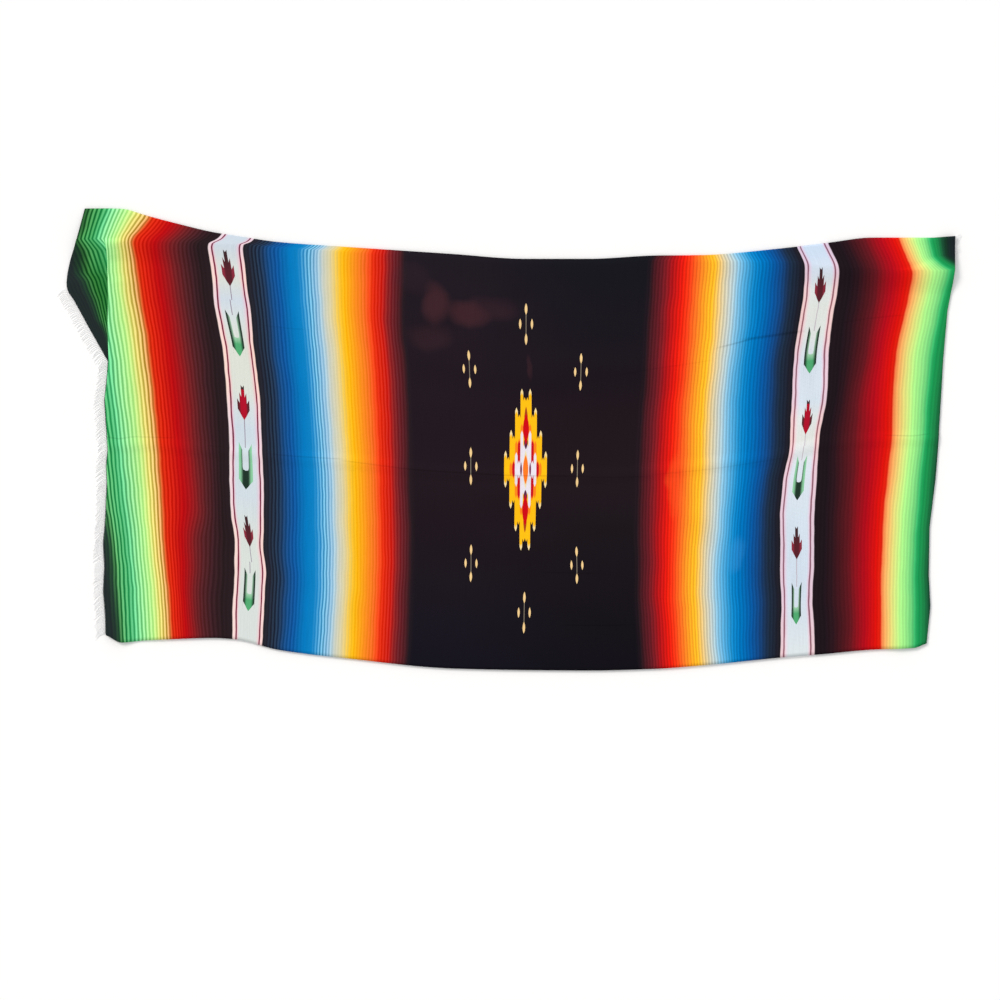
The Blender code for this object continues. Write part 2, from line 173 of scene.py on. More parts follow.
# Soft folds left in the cloth, each a ridge (or a trough, below zero) between two points.
SOFT_FOLDS = (
    ("x0", "y0", "x1", "y1", "height", "foot"),
    (-0.30, 0.46, -0.02, 0.34, 0.0045, 0.055),
    (-0.26, 0.30, 0.02, 0.40, -0.0030, 0.050),
    (0.00, 0.22, 0.40, 0.24, 0.0040, 0.070),
    (-0.28, 0.20, 0.12, 0.15, -0.0030, 0.060),
    (0.28, 0.08, 0.42, -0.16, 0.0045, 0.050),
    (0.40, -0.10, 0.56, -0.26, 0.0040, 0.045),
    (-0.10, -0.12, 0.26, -0.19, -0.0030, 0.060),
    (-0.30, -0.22, -0.05, -0.38, 0.0035, 0.070),
    (0.05, -0.30, 0.28, -0.40, 0.0030, 0.060),
    (-0.82, 0.06, -0.74, -0.16, 0.0045, 0.045),
    (-0.88, -0.12, -0.80, -0.38, 0.0035, 0.050),
    (-0.70, 0.36, -0.60, 0.02, 0.0035, 0.050),
    (-0.58, 0.44, -0.50, 0.10, -0.0030, 0.055),
    (-0.46, 0.02, -0.44, -0.36, 0.0030, 0.060),
    (0.62, 0.40, 0.68, 0.06, 0.0040, 0.050),
    (0.74, 0.44, 0.70, 0.20, -0.0030, 0.050),
    (0.80, 0.16, 0.76, -0.22, 0.0035, 0.060),
    (0.50, 0.42, 0.46, 0.16, 0.0030, 0.060),
    (0.88, 0.40, 0.86, 0.10, 0.0035, 0.050),
    (0.60, -0.10, 0.64, -0.38, 0.0035, 0.050),
)
FOLD_FREE_END = 0.97  # soft folds have died out past this distance from the middle
FOLD_FADE = 0.10  # length over which they die out, towards the ends and at their own tips
FOLD_BED = 0.003  # how high the cloth lies among the soft folds, which lets the troughs reach the floor

# Faces across the width, from share to share, and along the web.
ROW_SPANS = (
    (0.0, 0.44, 50),
    (0.44, 0.51, 26),
    (0.51, 0.65, 17),
    (0.65, 0.86, 27),
    (0.86, 0.925, 12),
    (0.925, 0.955, 10),
    (0.955, 1.0, 8),
)
BODY_FACES = 186
LIFT_FACES = 12
BEND_FACES = 8
RUN_FACES = 3
LONG_RUN_FACES = 6

# The warp fringe: a narrow backing along the web's end, and the strands out of it.
GAP = 0.0005  # parting between the web's edge and the backing
BACKING_WIDTH = 0.003
BACKING_HALF_HEIGHT = 0.0007
STRAND_PITCH = 0.0036
FEWEST_STRANDS = 6
STRAND_RADIUS = 0.0006
STRAND_LENGTH = 0.030
STRAND_SHORTEST = 0.8  # length of the shortest strand, as a share of the longest
STRAND_TIP = 0.5  # radius of a strand's tip, as a share of its root
STRAND_RINGS = 7
STRAND_SIDES = 5
STRAND_WAVES = ((6.0, 0.11, 0.0), (3.0, 0.31, 1.0))  # how the strands sway: degrees, turn a strand, start
STRAND_STRAY = 4.0  # how many degrees a strand strays from its neighbours
STRAND_TURN = (0.3, 1.2)  # share of its heading that a strand has at its root, and gains along it
STRAND_DROP = 1.4  # how many times in its length a strand could drop from its root to the floor
LEFT_FRINGE = dict(share_low=0.004, share_high=0.830, heading=225.0, seed=7)
RIGHT_FRINGE = dict(share_low=0.968, share_high=0.998, heading=25.0, seed=8)


# ---- The web's form ----


def table(rows):
    """A table's columns by name."""
    names, *values = rows
    return {name: np.array(column, float) for name, column in zip(names, zip(*values))}


def curve(knots, values, at):
    """A smooth curve through the values, which never swings past them."""
    step = np.diff(knots)
    slope = np.diff(values) / step
    tangent = np.zeros(len(knots))
    tangent[0], tangent[-1] = slope[0], slope[-1]
    same = slope[:-1] * slope[1:] > 0
    tangent[1:-1][same] = 2.0 / (1.0 / slope[:-1][same] + 1.0 / slope[1:][same])
    i = np.clip(np.searchsorted(knots, at) - 1, 0, len(step) - 1)
    t = np.clip((at - knots[i]) / step[i], 0.0, 1.0)
    start, end = (1 + 2 * t) * (1 - t) ** 2, t * t * (3 - 2 * t)
    lead, trail = t * (1 - t) ** 2, t * t * (t - 1)
    return (
        start * values[i] + end * values[i + 1]
        + step[i] * (lead * tangent[i] + trail * tangent[i + 1])
    )


def ease(t):
    """Rises softly from 0 to 1."""
    t = np.clip(t, 0.0, 1.0)
    return t * t * (3 - 2 * t)


def row_of(columns, share):
    """One row of an end's table, at any share of the width."""
    return {name: np.interp(share, columns["share"], column) for name, column in columns.items()}


SIDE = table(SIDES)
LEFT = table(LEFT_END)
RIGHT = table(RIGHT_END)
LINES = np.array(LEANS[1][1:], float)
LEAN = table((LEANS[0], *LEANS[2:]))
FOLDS = table(SOFT_FOLDS)


def side(name, x):
    """One of the web's sides or creases, at x."""
    return curve(SIDE["along"], SIDE[name], x)


def height_in_y(x, share):
    """Y at a share of the width, between the bottom edge, the two creases and the top edge."""
    levels = (side("bottom", x), side("crease", x), side("top", x) - side("strip", x), side("top", x))
    spans = zip(levels, levels[1:], LEVELS, LEVELS[1:])
    inside = [low + (high - low) * (share - s0) / (s1 - s0) for low, high, s0, s1 in spans]
    return np.where(share < MIDDLE_CREASE, inside[0], np.where(share < CREASE, inside[1], inside[2]))


def ridge(x, share):
    """How high the creases raise the web."""
    y = height_in_y(x, share)
    strip = side("strip", x)
    below_top = side("top", x) - strip - y
    top_rise = STRIP_SLOPE * strip
    upper = top_rise * np.clip(1 + below_top / strip, 0.0, 1.0)
    lower = top_rise * ease(1 - below_top / CREASE_FOOT)
    from_middle = np.abs(y - side("crease", x))
    return np.where(below_top < 0, upper, lower) + MIDDLE_RISE * ease(1 - from_middle / MIDDLE_FOOT)


def soft_folds(x, y):
    """How high the soft folds raise the web, at arrays of x and y."""
    raised = np.zeros(np.broadcast(x, y).shape)
    for x0, y0, x1, y1, height, foot in zip(*(FOLDS[name] for name in SOFT_FOLDS[0])):
        length = math.hypot(x1 - x0, y1 - y0)
        along = ((x - x0) * (x1 - x0) + (y - y0) * (y1 - y0)) / length
        off = ((y - y0) * (x1 - x0) - (x - x0) * (y1 - y0)) / length
        tips = ease(along / FOLD_FADE + 0.5) * ease((length - along) / FOLD_FADE + 0.5)
        raised += height * tips * ease(1 - np.abs(off) / foot)
    fade = ease((FOLD_FREE_END - np.abs(x)) / FOLD_FADE)
    return np.maximum(FOLD_BED + raised, 0.0) * fade


def lean_of(name, share):
    """A woven line's lean: straight above the top crease, curved below it, and rounded at the crease."""
    rows = LEAN["share"]
    near = np.clip(share + ROUNDING * np.linspace(-1.0, 1.0, ROUNDING_SAMPLES), 0.0, 1.0)
    lean = np.where(near > CREASE, np.interp(near, rows, LEAN[name]), curve(rows, LEAN[name], near))
    return float(lean.mean()) / 1000


def walk(legs):
    """Follows legs of (length, turn in radians, faces) and gives way, outward place and height."""
    way, outward, height, heading = [0.0], [0.0], [0.0], 0.0
    for length, turn, faces in legs:
        for _ in range(faces):
            middle = heading + turn / (2 * faces)
            way.append(way[-1] + length / faces)
            outward.append(outward[-1] + length / faces * math.cos(middle))
            height.append(height[-1] + length / faces * math.sin(middle))
            heading += turn / faces
    return np.array(way), np.array(outward), np.array(height)


def held_up(share):
    """How much higher than on its own layers the left end lies, which shows no step where layers start."""
    beside = np.clip(share + np.linspace(0.0, STEP_EASE, STEP_SAMPLES), 0.0, CREASE)
    heights = [-left_walk(row_of(LEFT, near))[2].min() for near in beside]
    return max(0.0, float(np.mean(heights)) - heights[0]) if share < CREASE else 0.0


def left_walk(row):
    """The left end past its fold: the tuck, the flap over it and the hem under the flap."""
    bend = math.pi * BEND
    fold = math.pi * row["turn"]
    hem_fold = math.pi * row["hem_turn"]
    return walk((
        (bend, -fold, BEND_FACES),
        (row["tuck"], 0.0, RUN_FACES),
        (bend, fold, BEND_FACES),
        (row["tuck"] + row["flap"], 0.0, LONG_RUN_FACES),
        (bend, -hem_fold, BEND_FACES),
        (row["hem"], 0.0, RUN_FACES),
    ))


def left_places(row, way):
    """The woven places along the left end: the hidden tuck first, then what shows past the fold."""
    hidden = min(2 * (math.pi * BEND + row["tuck"]), HIDDEN_MOST * way[-1])
    return np.interp(way, (0.0, hidden, way[-1]), (row["woven"], row["shown"], WOVEN_ENDS[0]))


def right_walk(row):
    """The right end past its fold, turned under as far as it has cloth to turn."""
    bend = math.pi * BEND
    under = max(LOOSE_END, WOVEN_ENDS[1] - row["woven"] - bend)
    fold = math.pi * float(ease((under - LOOSE_END) / TURNED_FULLY))
    return walk(((bend, -fold, BEND_FACES), (under, 0.0, LONG_RUN_FACES)))


def end_of(row, path, woven, sign, raised=0.0):
    """An end's points past its fold, and how the front layer is held up beside it."""
    _, outward, height = path
    folded = height.min() < -BEND
    start = row["fold"] - sign * folded * (outward[: BEND_FACES + 1].max() + REST)
    rise = raised - height.min()
    under = max(0.0, -outward[height < height.max() - BEND].min(initial=0.0)) + LIFT_MARGIN
    x, z = start + sign * outward, REST + rise + height
    return dict(x=x, z=z, woven=woven, start=start, rise=rise, under=under)


def section(share):
    """One section along the web: woven place, x and height of the middle of its wall."""
    left_row, right_row = row_of(LEFT, share), row_of(RIGHT, share)
    left_path, right_path = left_walk(left_row), right_walk(right_row)
    left = end_of(left_row, left_path, left_places(left_row, left_path[0]), -1, held_up(share))
    right_places = np.interp(right_path[0], right_path[0][[0, -1]], (right_row["woven"], WOVEN_ENDS[1]))
    right = end_of(right_row, right_path, right_places, 1)
    leans = [lean_of(name, share) for name in LEANS[0][1:]]
    knots = np.array([left_row["woven"], *LINES, right_row["woven"]])
    places = np.array([left["start"], *(LINES + leans), right["start"]])

    left_ease = left["under"] + LIFT_EASE
    right_ease = right["under"] + LIFT_EASE
    from_left = left_row["woven"] + np.linspace(0.0, left_ease, LIFT_FACES + 1)
    to_right = right_row["woven"] - np.linspace(right_ease, 0.0, LIFT_FACES + 1)
    body = np.linspace(from_left[-1], to_right[0], BODY_FACES + 1)
    woven = np.concatenate([from_left[:-1], body, to_right[1:]])
    x = curve(knots, places, woven)
    lift_left = left["rise"] * ease((left_row["woven"] + left_ease - woven) / LIFT_EASE)
    lift_right = right["rise"] * ease((woven - right_row["woven"] + right_ease) / LIFT_EASE)
    z = REST + lift_left + lift_right

    return (
        np.concatenate([left["woven"][:0:-1], woven, right["woven"][1:]]),
        np.concatenate([left["x"][:0:-1], x, right["x"][1:]]),
        np.concatenate([left["z"][:0:-1], z, right["z"][1:]]),
    )


def laid(x, z, share):
    """Y and height of points at one share of the width, on the creases and soft folds."""
    y = height_in_y(x, share)
    return y, z + ridge(x, share) + soft_folds(x, y)


def wall_points(share):
    """The woven places along and across, and the outer and inner points of the wall, at one section."""
    woven, x, z = section(share)
    steps = np.diff(np.stack([x, z], axis=1), axis=0)
    steps /= np.linalg.norm(steps, axis=1, keepdims=True)
    along = np.concatenate([steps[:1], steps[:-1] + steps[1:], steps[-1:]])
    along /= np.linalg.norm(along, axis=1, keepdims=True)
    y, raised = laid(x, z, share)
    across = WIDTH * (y - side("bottom", x)) / (side("top", x) - side("bottom", x))
    half = WALL / 2
    outer = np.stack([x - along[:, 1] * half, y, raised + along[:, 0] * half], axis=1)
    inner = np.stack([x + along[:, 1] * half, y, raised - along[:, 0] * half], axis=1)
    return np.stack([woven, across], axis=1), outer, inner


def row_shares():
    """The shares of the width at which the web has a row of points."""
    shares = [np.linspace(low, high, faces + 1)[:-1] for low, high, faces in ROW_SPANS]
    return np.append(np.concatenate(shares), 1.0)


def placed(name, mesh, finish):
    """A piece made of a mesh, in its finish."""
    mesh.materials.append(finish)
    mesh.shade_smooth()
    made = bpy.data.objects.new(name, mesh)
    bpy.context.scene.collection.objects.link(made)
    return made


def woven_web(finish):
    """The web as a closed thin shell: an outer face, an inner face and four edges, on its woven places."""
    rows = [wall_points(share) for share in row_shares()]
    outer = np.array([row[1] for row in rows])
    inner = np.array([row[2] for row in rows])
    down, along = outer.shape[:2]
    points = np.concatenate([outer.reshape(-1, 3), inner.reshape(-1, 3)]) + WEB_PLACE

    number = np.arange(down * along).reshape(down, along)
    back = number + down * along
    top = np.stack([number[:-1, :-1], number[:-1, 1:], number[1:, 1:], number[1:, :-1]], axis=-1)
    under = np.stack([back[:-1, :-1], back[1:, :-1], back[1:, 1:], back[:-1, 1:]], axis=-1)
    left = np.stack([number[:-1, 0], number[1:, 0], back[1:, 0], back[:-1, 0]], axis=-1)
    right = np.stack([number[:-1, -1], back[:-1, -1], back[1:, -1], number[1:, -1]], axis=-1)
    low = np.stack([number[0, :-1], back[0, :-1], back[0, 1:], number[0, 1:]], axis=-1)
    high = np.stack([number[-1, :-1], number[-1, 1:], back[-1, 1:], back[-1, :-1]], axis=-1)
    faces = np.concatenate([part.reshape(-1, 4) for part in (top, under, left, right, low, high)])

    mesh = bpy.data.meshes.new("woven_web")
    mesh.from_pydata(points.tolist(), [], faces.tolist())
    places = np.array([row[0] for row in rows]).reshape(-1, 2)
    places = (places - (WOVEN_ENDS[0], 0.0)) / (WOVEN_ENDS[1] - WOVEN_ENDS[0], WIDTH)
    places = np.concatenate([places, places])
    mesh.uv_layers.new(name="woven").data.foreach_set("uv", places[faces.ravel()].ravel())
    return placed("woven_web", mesh, finish)


def end_edge(left):
    """The web's woven end as rows of share, x, y and z."""
    tip = slice(0, 1) if left else slice(-1, None)
    points = []
    for share in row_shares():
        _, x, z = section(share)
        y, raised = laid(x[tip], z[tip], share)
        points.append((share, x[tip][0], y[0], raised[0]))
    return np.array(points)


def tube(path, radii, points, faces, places):
    """Adds one twisted strand along a path, closed at both ends, with places along and round it."""
    first = len(points)
    turns = np.arange(STRAND_SIDES) * 2 * math.pi / STRAND_SIDES
    ahead = np.gradient(path, axis=0)
    ahead /= np.linalg.norm(ahead, axis=1, keepdims=True)
    beside = np.cross(ahead, (0.0, 0.0, 1.0))
    beside /= np.linalg.norm(beside, axis=1, keepdims=True)
    above = np.cross(beside, ahead)
    for ring, (place, radius) in enumerate(zip(path, radii)):
        for turn in turns:
            points.append(place + radius * (math.cos(turn) * beside[ring] + math.sin(turn) * above[ring]))
            places.append((turn / (2 * math.pi), ring / (len(path) - 1)))
    last = first + (len(path) - 1) * STRAND_SIDES
    for ring in range(len(path) - 1):
        start = first + ring * STRAND_SIDES
        for p in range(STRAND_SIDES):
            q = (p + 1) % STRAND_SIDES
            faces.append((start + p, start + q, start + STRAND_SIDES + q, start + STRAND_SIDES + p))
    faces.append(tuple(first + p for p in reversed(range(STRAND_SIDES))))
    faces.append(tuple(last + p for p in range(STRAND_SIDES)))


def warp_fringe(name, left, finish, share_low, share_high, heading, seed):
    """The loose warp ends past one end of the web: twisted cotton strands out of a narrow backing."""
    edge = end_edge(left)
    sign, outward = (-1, 180.0) if left else (1, 0.0)
    low, high = (np.interp(share, edge[:, 0], edge[:, 2]) for share in (share_low, share_high))
    count = max(FEWEST_STRANDS, round((high - low) / STRAND_PITCH))
    rng = np.random.default_rng(seed)
    points, faces, places = [], [], []

    roots = np.linspace(low, high, count)
    root_x = np.interp(roots, edge[:, 2], edge[:, 1]) + sign * (GAP + BACKING_WIDTH / 2)
    root_z = np.interp(roots, edge[:, 2], edge[:, 3])
    backing = np.stack([root_x, roots, root_z], axis=1)
    tube(backing, np.full(count, BACKING_HALF_HEIGHT), points, faces, places)

    steps = np.linspace(0.0, 1.0, STRAND_RINGS)
    turned = np.minimum(1.0, STRAND_TURN[0] + STRAND_TURN[1] * steps)
    radii = STRAND_RADIUS * (1 + (STRAND_TIP - 1) * steps)
    for k in range(count):
        sway = sum(most * math.sin(turn * k + start) for most, turn, start in STRAND_WAVES)
        sway += rng.normal(0.0, STRAND_STRAY)
        leg = STRAND_LENGTH * rng.uniform(STRAND_SHORTEST, 1.0) / (STRAND_RINGS - 1)
        towards = np.radians(outward + (heading + sway - outward) * turned)[:-1]
        path = np.empty((STRAND_RINGS, 3))
        path[:, 0] = root_x[k] + np.append(0.0, np.cumsum(leg * np.cos(towards)))
        path[:, 1] = roots[k] + np.append(0.0, np.cumsum(leg * np.sin(towards)))
        path[:, 2] = STRAND_RADIUS + (root_z[k] - STRAND_RADIUS) * (1 - ease(STRAND_DROP * steps))
        tube(path, radii, points, faces, places)

    mesh = bpy.data.meshes.new(name)
    mesh.from_pydata((np.array(points) + WEB_PLACE).tolist(), [], faces)
    corners = np.array([places[v] for face in faces for v in face])
    mesh.uv_layers.new(name="strand").data.foreach_set("uv", corners.ravel())
    return placed(name, mesh, finish)


# ---- The web's colours ----

# Weft yarns by their place from the middle of the web. On the left two picks take turns, a light one and a
# dark one. The right half is beaten in closer, so there one shade is named and its picks differ by a little,
# right_step. Each zone runs from start to end, repeats its picks every pitch, and has a light pick at
# light_pick.
CENTRE_ZONE = dict(start=0.0, end=0.528, pitch=0.0073, light_pick=0.4872, right_step=0.20)
CENTRE_YARNS = (
    ("place", "light", "dark", "right"),
    (0.281, "#281D22", "#281D22", "#281A20"),
    (0.3065, "#73292F", "#66181E", "#641C24"),
    (0.3185, "#9A2A29", "#8A1B1E", "#861C23"),
    (0.3285, "#D22B24", "#BE1107", "#A8151A"),
    (0.350, "#EC3518", "#DB2406", "#E21A10"),
    (0.358, "#FD5225", "#F14C19", "#EE2610"),
    (0.370, "#FC752C", "#E76818", "#F8401A"),
    (0.386, "#FC8D24", "#F3881B", "#FD7224"),
    (0.413, "#FFBF1C", "#F4B00A", "#FFB226"),
    (0.421, "#FFC430", "#F0BE2E", "#FFBA28"),
    (0.4285, "#F8CE54", "#E9C964", "#F6C256"),
    (0.444, "#DCD4AC", "#D4CCA4", "#D8CAA2"),
    (0.456, "#CCD0C4", "#C2CABC", "#C4CCC4"),
    (0.466, "#B5D6E6", "#96BDD4", "#ACCCD8"),
    (0.473, "#9CCAE8", "#6FA5C8", "#8AC2E0"),
    (0.487, "#86CEF4", "#3888B2", "#58ACDA"),
    (0.502, "#47A2D8", "#2084C4", "#2A94CE"),
    (0.511, "#0E80C2", "#0E80C2", "#0E84C6"),
    (0.528, "#0579BE", "#0579BE", "#0074BC"),
)
NAVY_ZONE = dict(start=0.528, end=0.629, pitch=0.0082, light_pick=0.5736, right_step=0.16)
NAVY_YARNS = (
    ("place", "light", "dark", "right"),
    (0.528, "#0579BE", "#0579BE", "#0074BC"),
    (0.557, "#145FA8", "#084C90", "#07569E"),
    (0.574, "#1E5490", "#0F457C", "#124783"),
    (0.590, "#274162", "#182C48", "#1B3355"),
    (0.600, "#2C3E56", "#172132", "#1D2C40"),
    (0.624, "#26262E", "#24222A", "#1F1D26"),
)
BAND_ZONE = dict(start=0.629, end=0.709)
BAND_YARNS = (
    ("place", "left", "right"),
    (0.6290, "#1E1C22", "#1E1C22"),
    (0.6306, "#FFDCDC", "#F4D3DA"),
    (0.6356, "#FBD3D8", "#F0CBD4"),
    (0.6362, "#7C2440", "#96606E"),
    (0.6390, "#7C2440", "#96606E"),
    (0.6396, "#F6C4D0", "#F2CBD6"),
    (0.6430, "#E8D8DE", "#ECDCE6"),
    (0.6480, "#DCE0E2", "#E2E7EC"),
    (0.6920, "#DCE0E2", "#E2E7EC"),
    (0.6950, "#E8D8DE", "#ECDCE6"),
    (0.6974, "#F6C4D0", "#F2CBD6"),
    (0.6980, "#7C2440", "#96606E"),
    (0.7010, "#7C2440", "#96606E"),
    (0.7016, "#FBD3D8", "#F0CBD4"),
    (0.7070, "#FFE2E0", "#F4D3DA"),
    (0.7090, "#2B2024", "#2B2024"),
)
END_ZONE = dict(start=0.709, end=1.061, pitch=0.0089, light_pick=0.8864, right_step=0.085)
END_YARNS = (
    ("place", "light", "dark", "right"),
    (0.709, "#291E22", "#291E22", "#1F161C"),
    (0.731, "#2C1E22", "#261A1D", "#1E151B"),
    (0.749, "#3F2329", "#341B1F", "#2C161D"),
    (0.771, "#5B272C", "#4E1C1E", "#4A171D"),
    (0.790, "#7B2528", "#6C1B1F", "#63171F"),
    (0.830, "#C00D12", "#B2090F", "#B00C1A"),
    (0.862, "#E62D1A", "#C61503", "#DC120C"),
    (0.874, "#E43414", "#C4270A", "#DF2410"),
    (0.878, "#E8602E", "#C04412", "#F0804A"),
    (0.882, "#F6965E", "#BC6C2A", "#F79C58"),
    (0.889, "#FFD084", "#AA7C24", "#F6B668"),
    (0.906, "#FCF08C", "#C6BC52", "#E0DE7E"),
    (0.922, "#D8FC98", "#B6E67C", "#C2F28A"),
    (0.929, "#C8FE9E", "#9ADB7A", "#AEF48C"),
    (0.948, "#B2FEB0", "#6EC272", "#8CE286"),
    (0.967, "#86F0AA", "#40A668", "#3CBB6E"),
    (0.975, "#66D08C", "#2A9C58", "#1A9853"),
    (0.987, "#66CC84", "#178646", "#1E8C4C"),
    (0.998, "#6ECC84", "#147A3C", "#1C7040"),
    (1.006, "#72C87E", "#146C32", "#1B5236"),
    (1.012, "#5AA062", "#185A2C", "#18422D"),
    (1.018, "#427C4A", "#1C4A2C", "#173626"),
    (1.026, "#2A4A34", "#223A30", "#1A2C28"),
    (1.040, "#252E2E", "#222A2B", "#1C2428"),
)
CRISPNESS = 1.8  # how sharply the two picks meet on the left half
UNEVEN_BEAT = 0.0060  # how far the picks stray from their even pitch

# The cloth's slow changes of colour: painted sky and warm light on the white bands, blacks that change
# across the field, and patches of painted sheen.
# Painted light on the white bands: bluish where the folds face the sky and warm where they turn away from
# it, multiplied into the yarn's colour.
BAND_PAINTED_LIGHT = (
    ("across", "left", "right"),
    (0.00, "#FAFDF8", "#F8FCFA"),
    (0.14, "#F8FDF6", "#EEF6FF"),
    (0.26, "#FAFDF4", "#ECF6FF"),
    (0.36, "#F0F8FF", "#F0F8FF"),
    (0.46, "#F0FAFF", "#F6FAFF"),
    (0.53, "#ECF6FF", "#FFFCF2"),
    (0.58, "#F6FAFA", "#FCFCF6"),
    (0.62, "#FBFCF0", "#F0F8FF"),
    (0.72, "#FCFCEE", "#F2F8FF"),
    (0.78, "#F8FBF6", "#FCFCF4"),
    (0.84, "#EEF6FF", "#FCFBF0"),
    (0.89, "#FBFCF2", "#FAFCF6"),
    (0.93, "#FAFCF8", "#F0F6FF"),
    (0.97, "#EEF6FF", "#E4F0FF"),
    (1.00, "#EAF4FF", "#E0EEFF"),
)
FIELD_EDGE = (0.290, 0.268)  # where the black field gives way to the ombre
FIELD_TURN = (-0.2, 0.2)  # where the field's black goes over from its left shades to its right ones
FIELD_BLACKS = (
    ("across", "left", "right"),
    (0.00, "#15131D", "#131118"),
    (0.12, "#1A161F", "#151218"),
    (0.30, "#1E161D", "#1A151A"),
    (0.45, "#22181F", "#21181E"),
    (0.62, "#211820", "#1F161C"),
    (0.80, "#221921", "#1A161D"),
    (1.00, "#201A22", "#17171E"),
)
# Painted sheen: soft patches of painted highlight where light catches the folds, each with its own tint.
PAINTED_SHEEN_PATCHES = (
    ("along", "across", "half_along", "half_across", "strength", "tint"),
    (-0.208, 0.880, 0.024, 0.042, 0.62, "#4A2A30"),
    (-0.135, 0.858, 0.038, 0.030, 0.66, "#4A2A30"),
    (-0.085, 0.878, 0.055, 0.024, 0.36, "#40262E"),
    (-0.225, 0.795, 0.045, 0.026, 0.34, "#40262C"),
    (-0.258, 0.935, 0.036, 0.034, 0.26, "#38242C"),
    (0.008, 0.735, 0.006, 0.028, 0.34, "#46282F"),
    (0.366, 0.440, 0.014, 0.060, 0.26, "#FF6E2C"),
    (0.516, 0.262, 0.020, 0.032, 0.20, "#4AA4E6"),
)
SHEEN_DRIFT = 0.04  # how far the patches' edges wander
SHEEN_DRIFT_SCALE = 12.0  # how often a metre they do
SHEEN_REACH = 2.4  # how far a patch fades out, as the square of its half sizes

# The flap past the left fold and its parts, as spans: each sets in at its first place and is full at its
# second.
PAST_FOLD = (-0.960, -0.985)
ON_FLAP = (0.70, 0.74)  # across the web
LOW_DOWN = (0.89, 0.84)  # across, low on the flap
IN_STRIP = (0.92, 0.96)  # across, above the top crease
STILL_GREEN = (1.050, 1.020)  # from the middle of the web; the flap's painted shade fades out towards the end
CORNER_ALONG = (-0.975, -1.010)  # the bottom left corner
CORNER_ACROSS = (0.28, 0.02)
FLAP_PAINTED_SHADE = ("#CCDCC8", "#8EA680")  # painted shade on the flap's greens, where the turned end falls away into shade: high up and low down
FLAP_LATE = 0.018  # how much further the flap's greens run on low down
CORNER_EARLY = 0.017  # how much sooner the greens turn dark at the bottom left corner
STRIP_EARLY = 0.008  # how much sooner the flap's greens turn dark above the top crease

# Painted shade along the lines where the web was folded away, with how dark and how wide each is.
CREASE_SHADE_TIP = 0.03  # length over which a line dies out
PAINTED_CREASE_SHADES = (
    ("start", "start_across", "end", "end_across", "depth", "width"),
    (-1.060, 0.452, -0.925, 0.477, 0.20, 0.003),
    (-0.955, 0.475, -0.830, 0.484, 0.16, 0.003),
    (-0.765, 0.472, -0.714, 0.474, 0.18, 0.003),
    (-0.622, 0.477, -0.430, 0.484, 0.18, 0.003),
    (-0.450, 0.480, -0.290, 0.474, 0.16, 0.003),
    (-0.320, 0.474, 0.170, 0.472, 0.22, 0.003),
    (0.140, 0.470, 0.320, 0.465, 0.14, 0.003),
    (0.310, 0.470, 0.640, 0.488, 0.10, 0.003),
    (0.850, 0.520, 0.995, 0.515, 0.18, 0.003),
    (0.200, 0.712, 0.440, 0.744, 0.10, 0.003),
    (0.430, 0.770, 0.530, 0.788, 0.26, 0.004),
    (0.490, 0.786, 0.650, 0.792, 0.30, 0.006),
    (0.600, 0.791, 0.625, 0.793, 0.14, 0.003),
    (0.716, 0.799, 0.885, 0.812, 0.14, 0.003),
    (-0.620, 0.790, -0.490, 0.792, 0.10, 0.003),
    (0.030, 0.238, 0.195, 0.236, 0.16, 0.003),
    (0.080, 0.110, 0.280, 0.109, 0.16, 0.003),
)

# Inlaid motifs. The buds and leaves of each white band, from the bottom edge up: from is where a motif's
# place begins, and left and right are its middle across the web on each band. bud is one for a bud and zero
# for a leaf, and dark_core says which of its two shades is inside.
BAND_MIDDLE = (0.6700, 0.6680)  # how far the motifs are from the middle of the web, left and right
BAND_MOTIFS = (
    ("from", "left", "right", "bud", "dark_core"),
    (0.000, 0.1290, 0.1290, 0.0, 0.0),
    (0.198, 0.2738, 0.2766, 1.0, 1.0),
    (0.356, 0.4335, 0.4345, 0.0, 1.0),
    (0.509, 0.5895, 0.5811, 1.0, 0.0),
    (0.672, 0.7583, 0.7443, 0.0, 0.0),
    (0.836, 0.9171, 0.8990, 1.0, 1.0),
)

# The weaver's hand in each motif: how big it came out on the left and right bands, and how far it leans.
MOTIF_HAND = (
    ("from", "left_size", "right_size", "left_lean", "right_lean"),
    (0.000, 0.95, 0.92, 0.00, 0.02),
    (0.198, 0.88, 0.92, 0.07, -0.01),
    (0.356, 1.03, 0.97, 0.00, 0.01),
    (0.509, 0.98, 0.97, 0.00, -0.04),
    (0.672, 1.00, 1.03, 0.03, 0.01),
    (0.836, 1.01, 0.98, 0.02, -0.03),
)

# Charts of a bud and a leaf, mirrored about their middle line, in millimetres. Each row is a place beside
# the middle line, with the heights between which the motif shows there.
CHART_REACH = 60.0  # a chart's reach above and below the motif's middle
CHART_WIDTH = 18.0
BUD_CHART = (
    ("beside", "top", "bottom"),
    (0.0, 38.0, -44.0),
    (3.9, 44.0, -37.0),
    (4.1, 14.0, -37.0),
    (8.5, 25.0, -29.0),
    (8.7, -2.0, -28.0),
    (14.4, 9.0, -17.0),
    (14.6, -60.0, -60.0),
    (18.0, -60.0, -60.0),
)
LEAF_CHART = (
    ("beside", "top", "bottom"),
    (0.0, -11.0, -56.0),
    (5.6, -9.0, -48.0),
    (6.8, -2.0, -46.0),
    (7.2, 38.0, -45.0),
    (15.3, 56.0, -33.0),
    (15.5, -60.0, -60.0),
    (18.0, -60.0, -60.0),
)
MOTIF_SPREAD = (1.0, 0.88)  # how wide the motifs are on the left and right bands

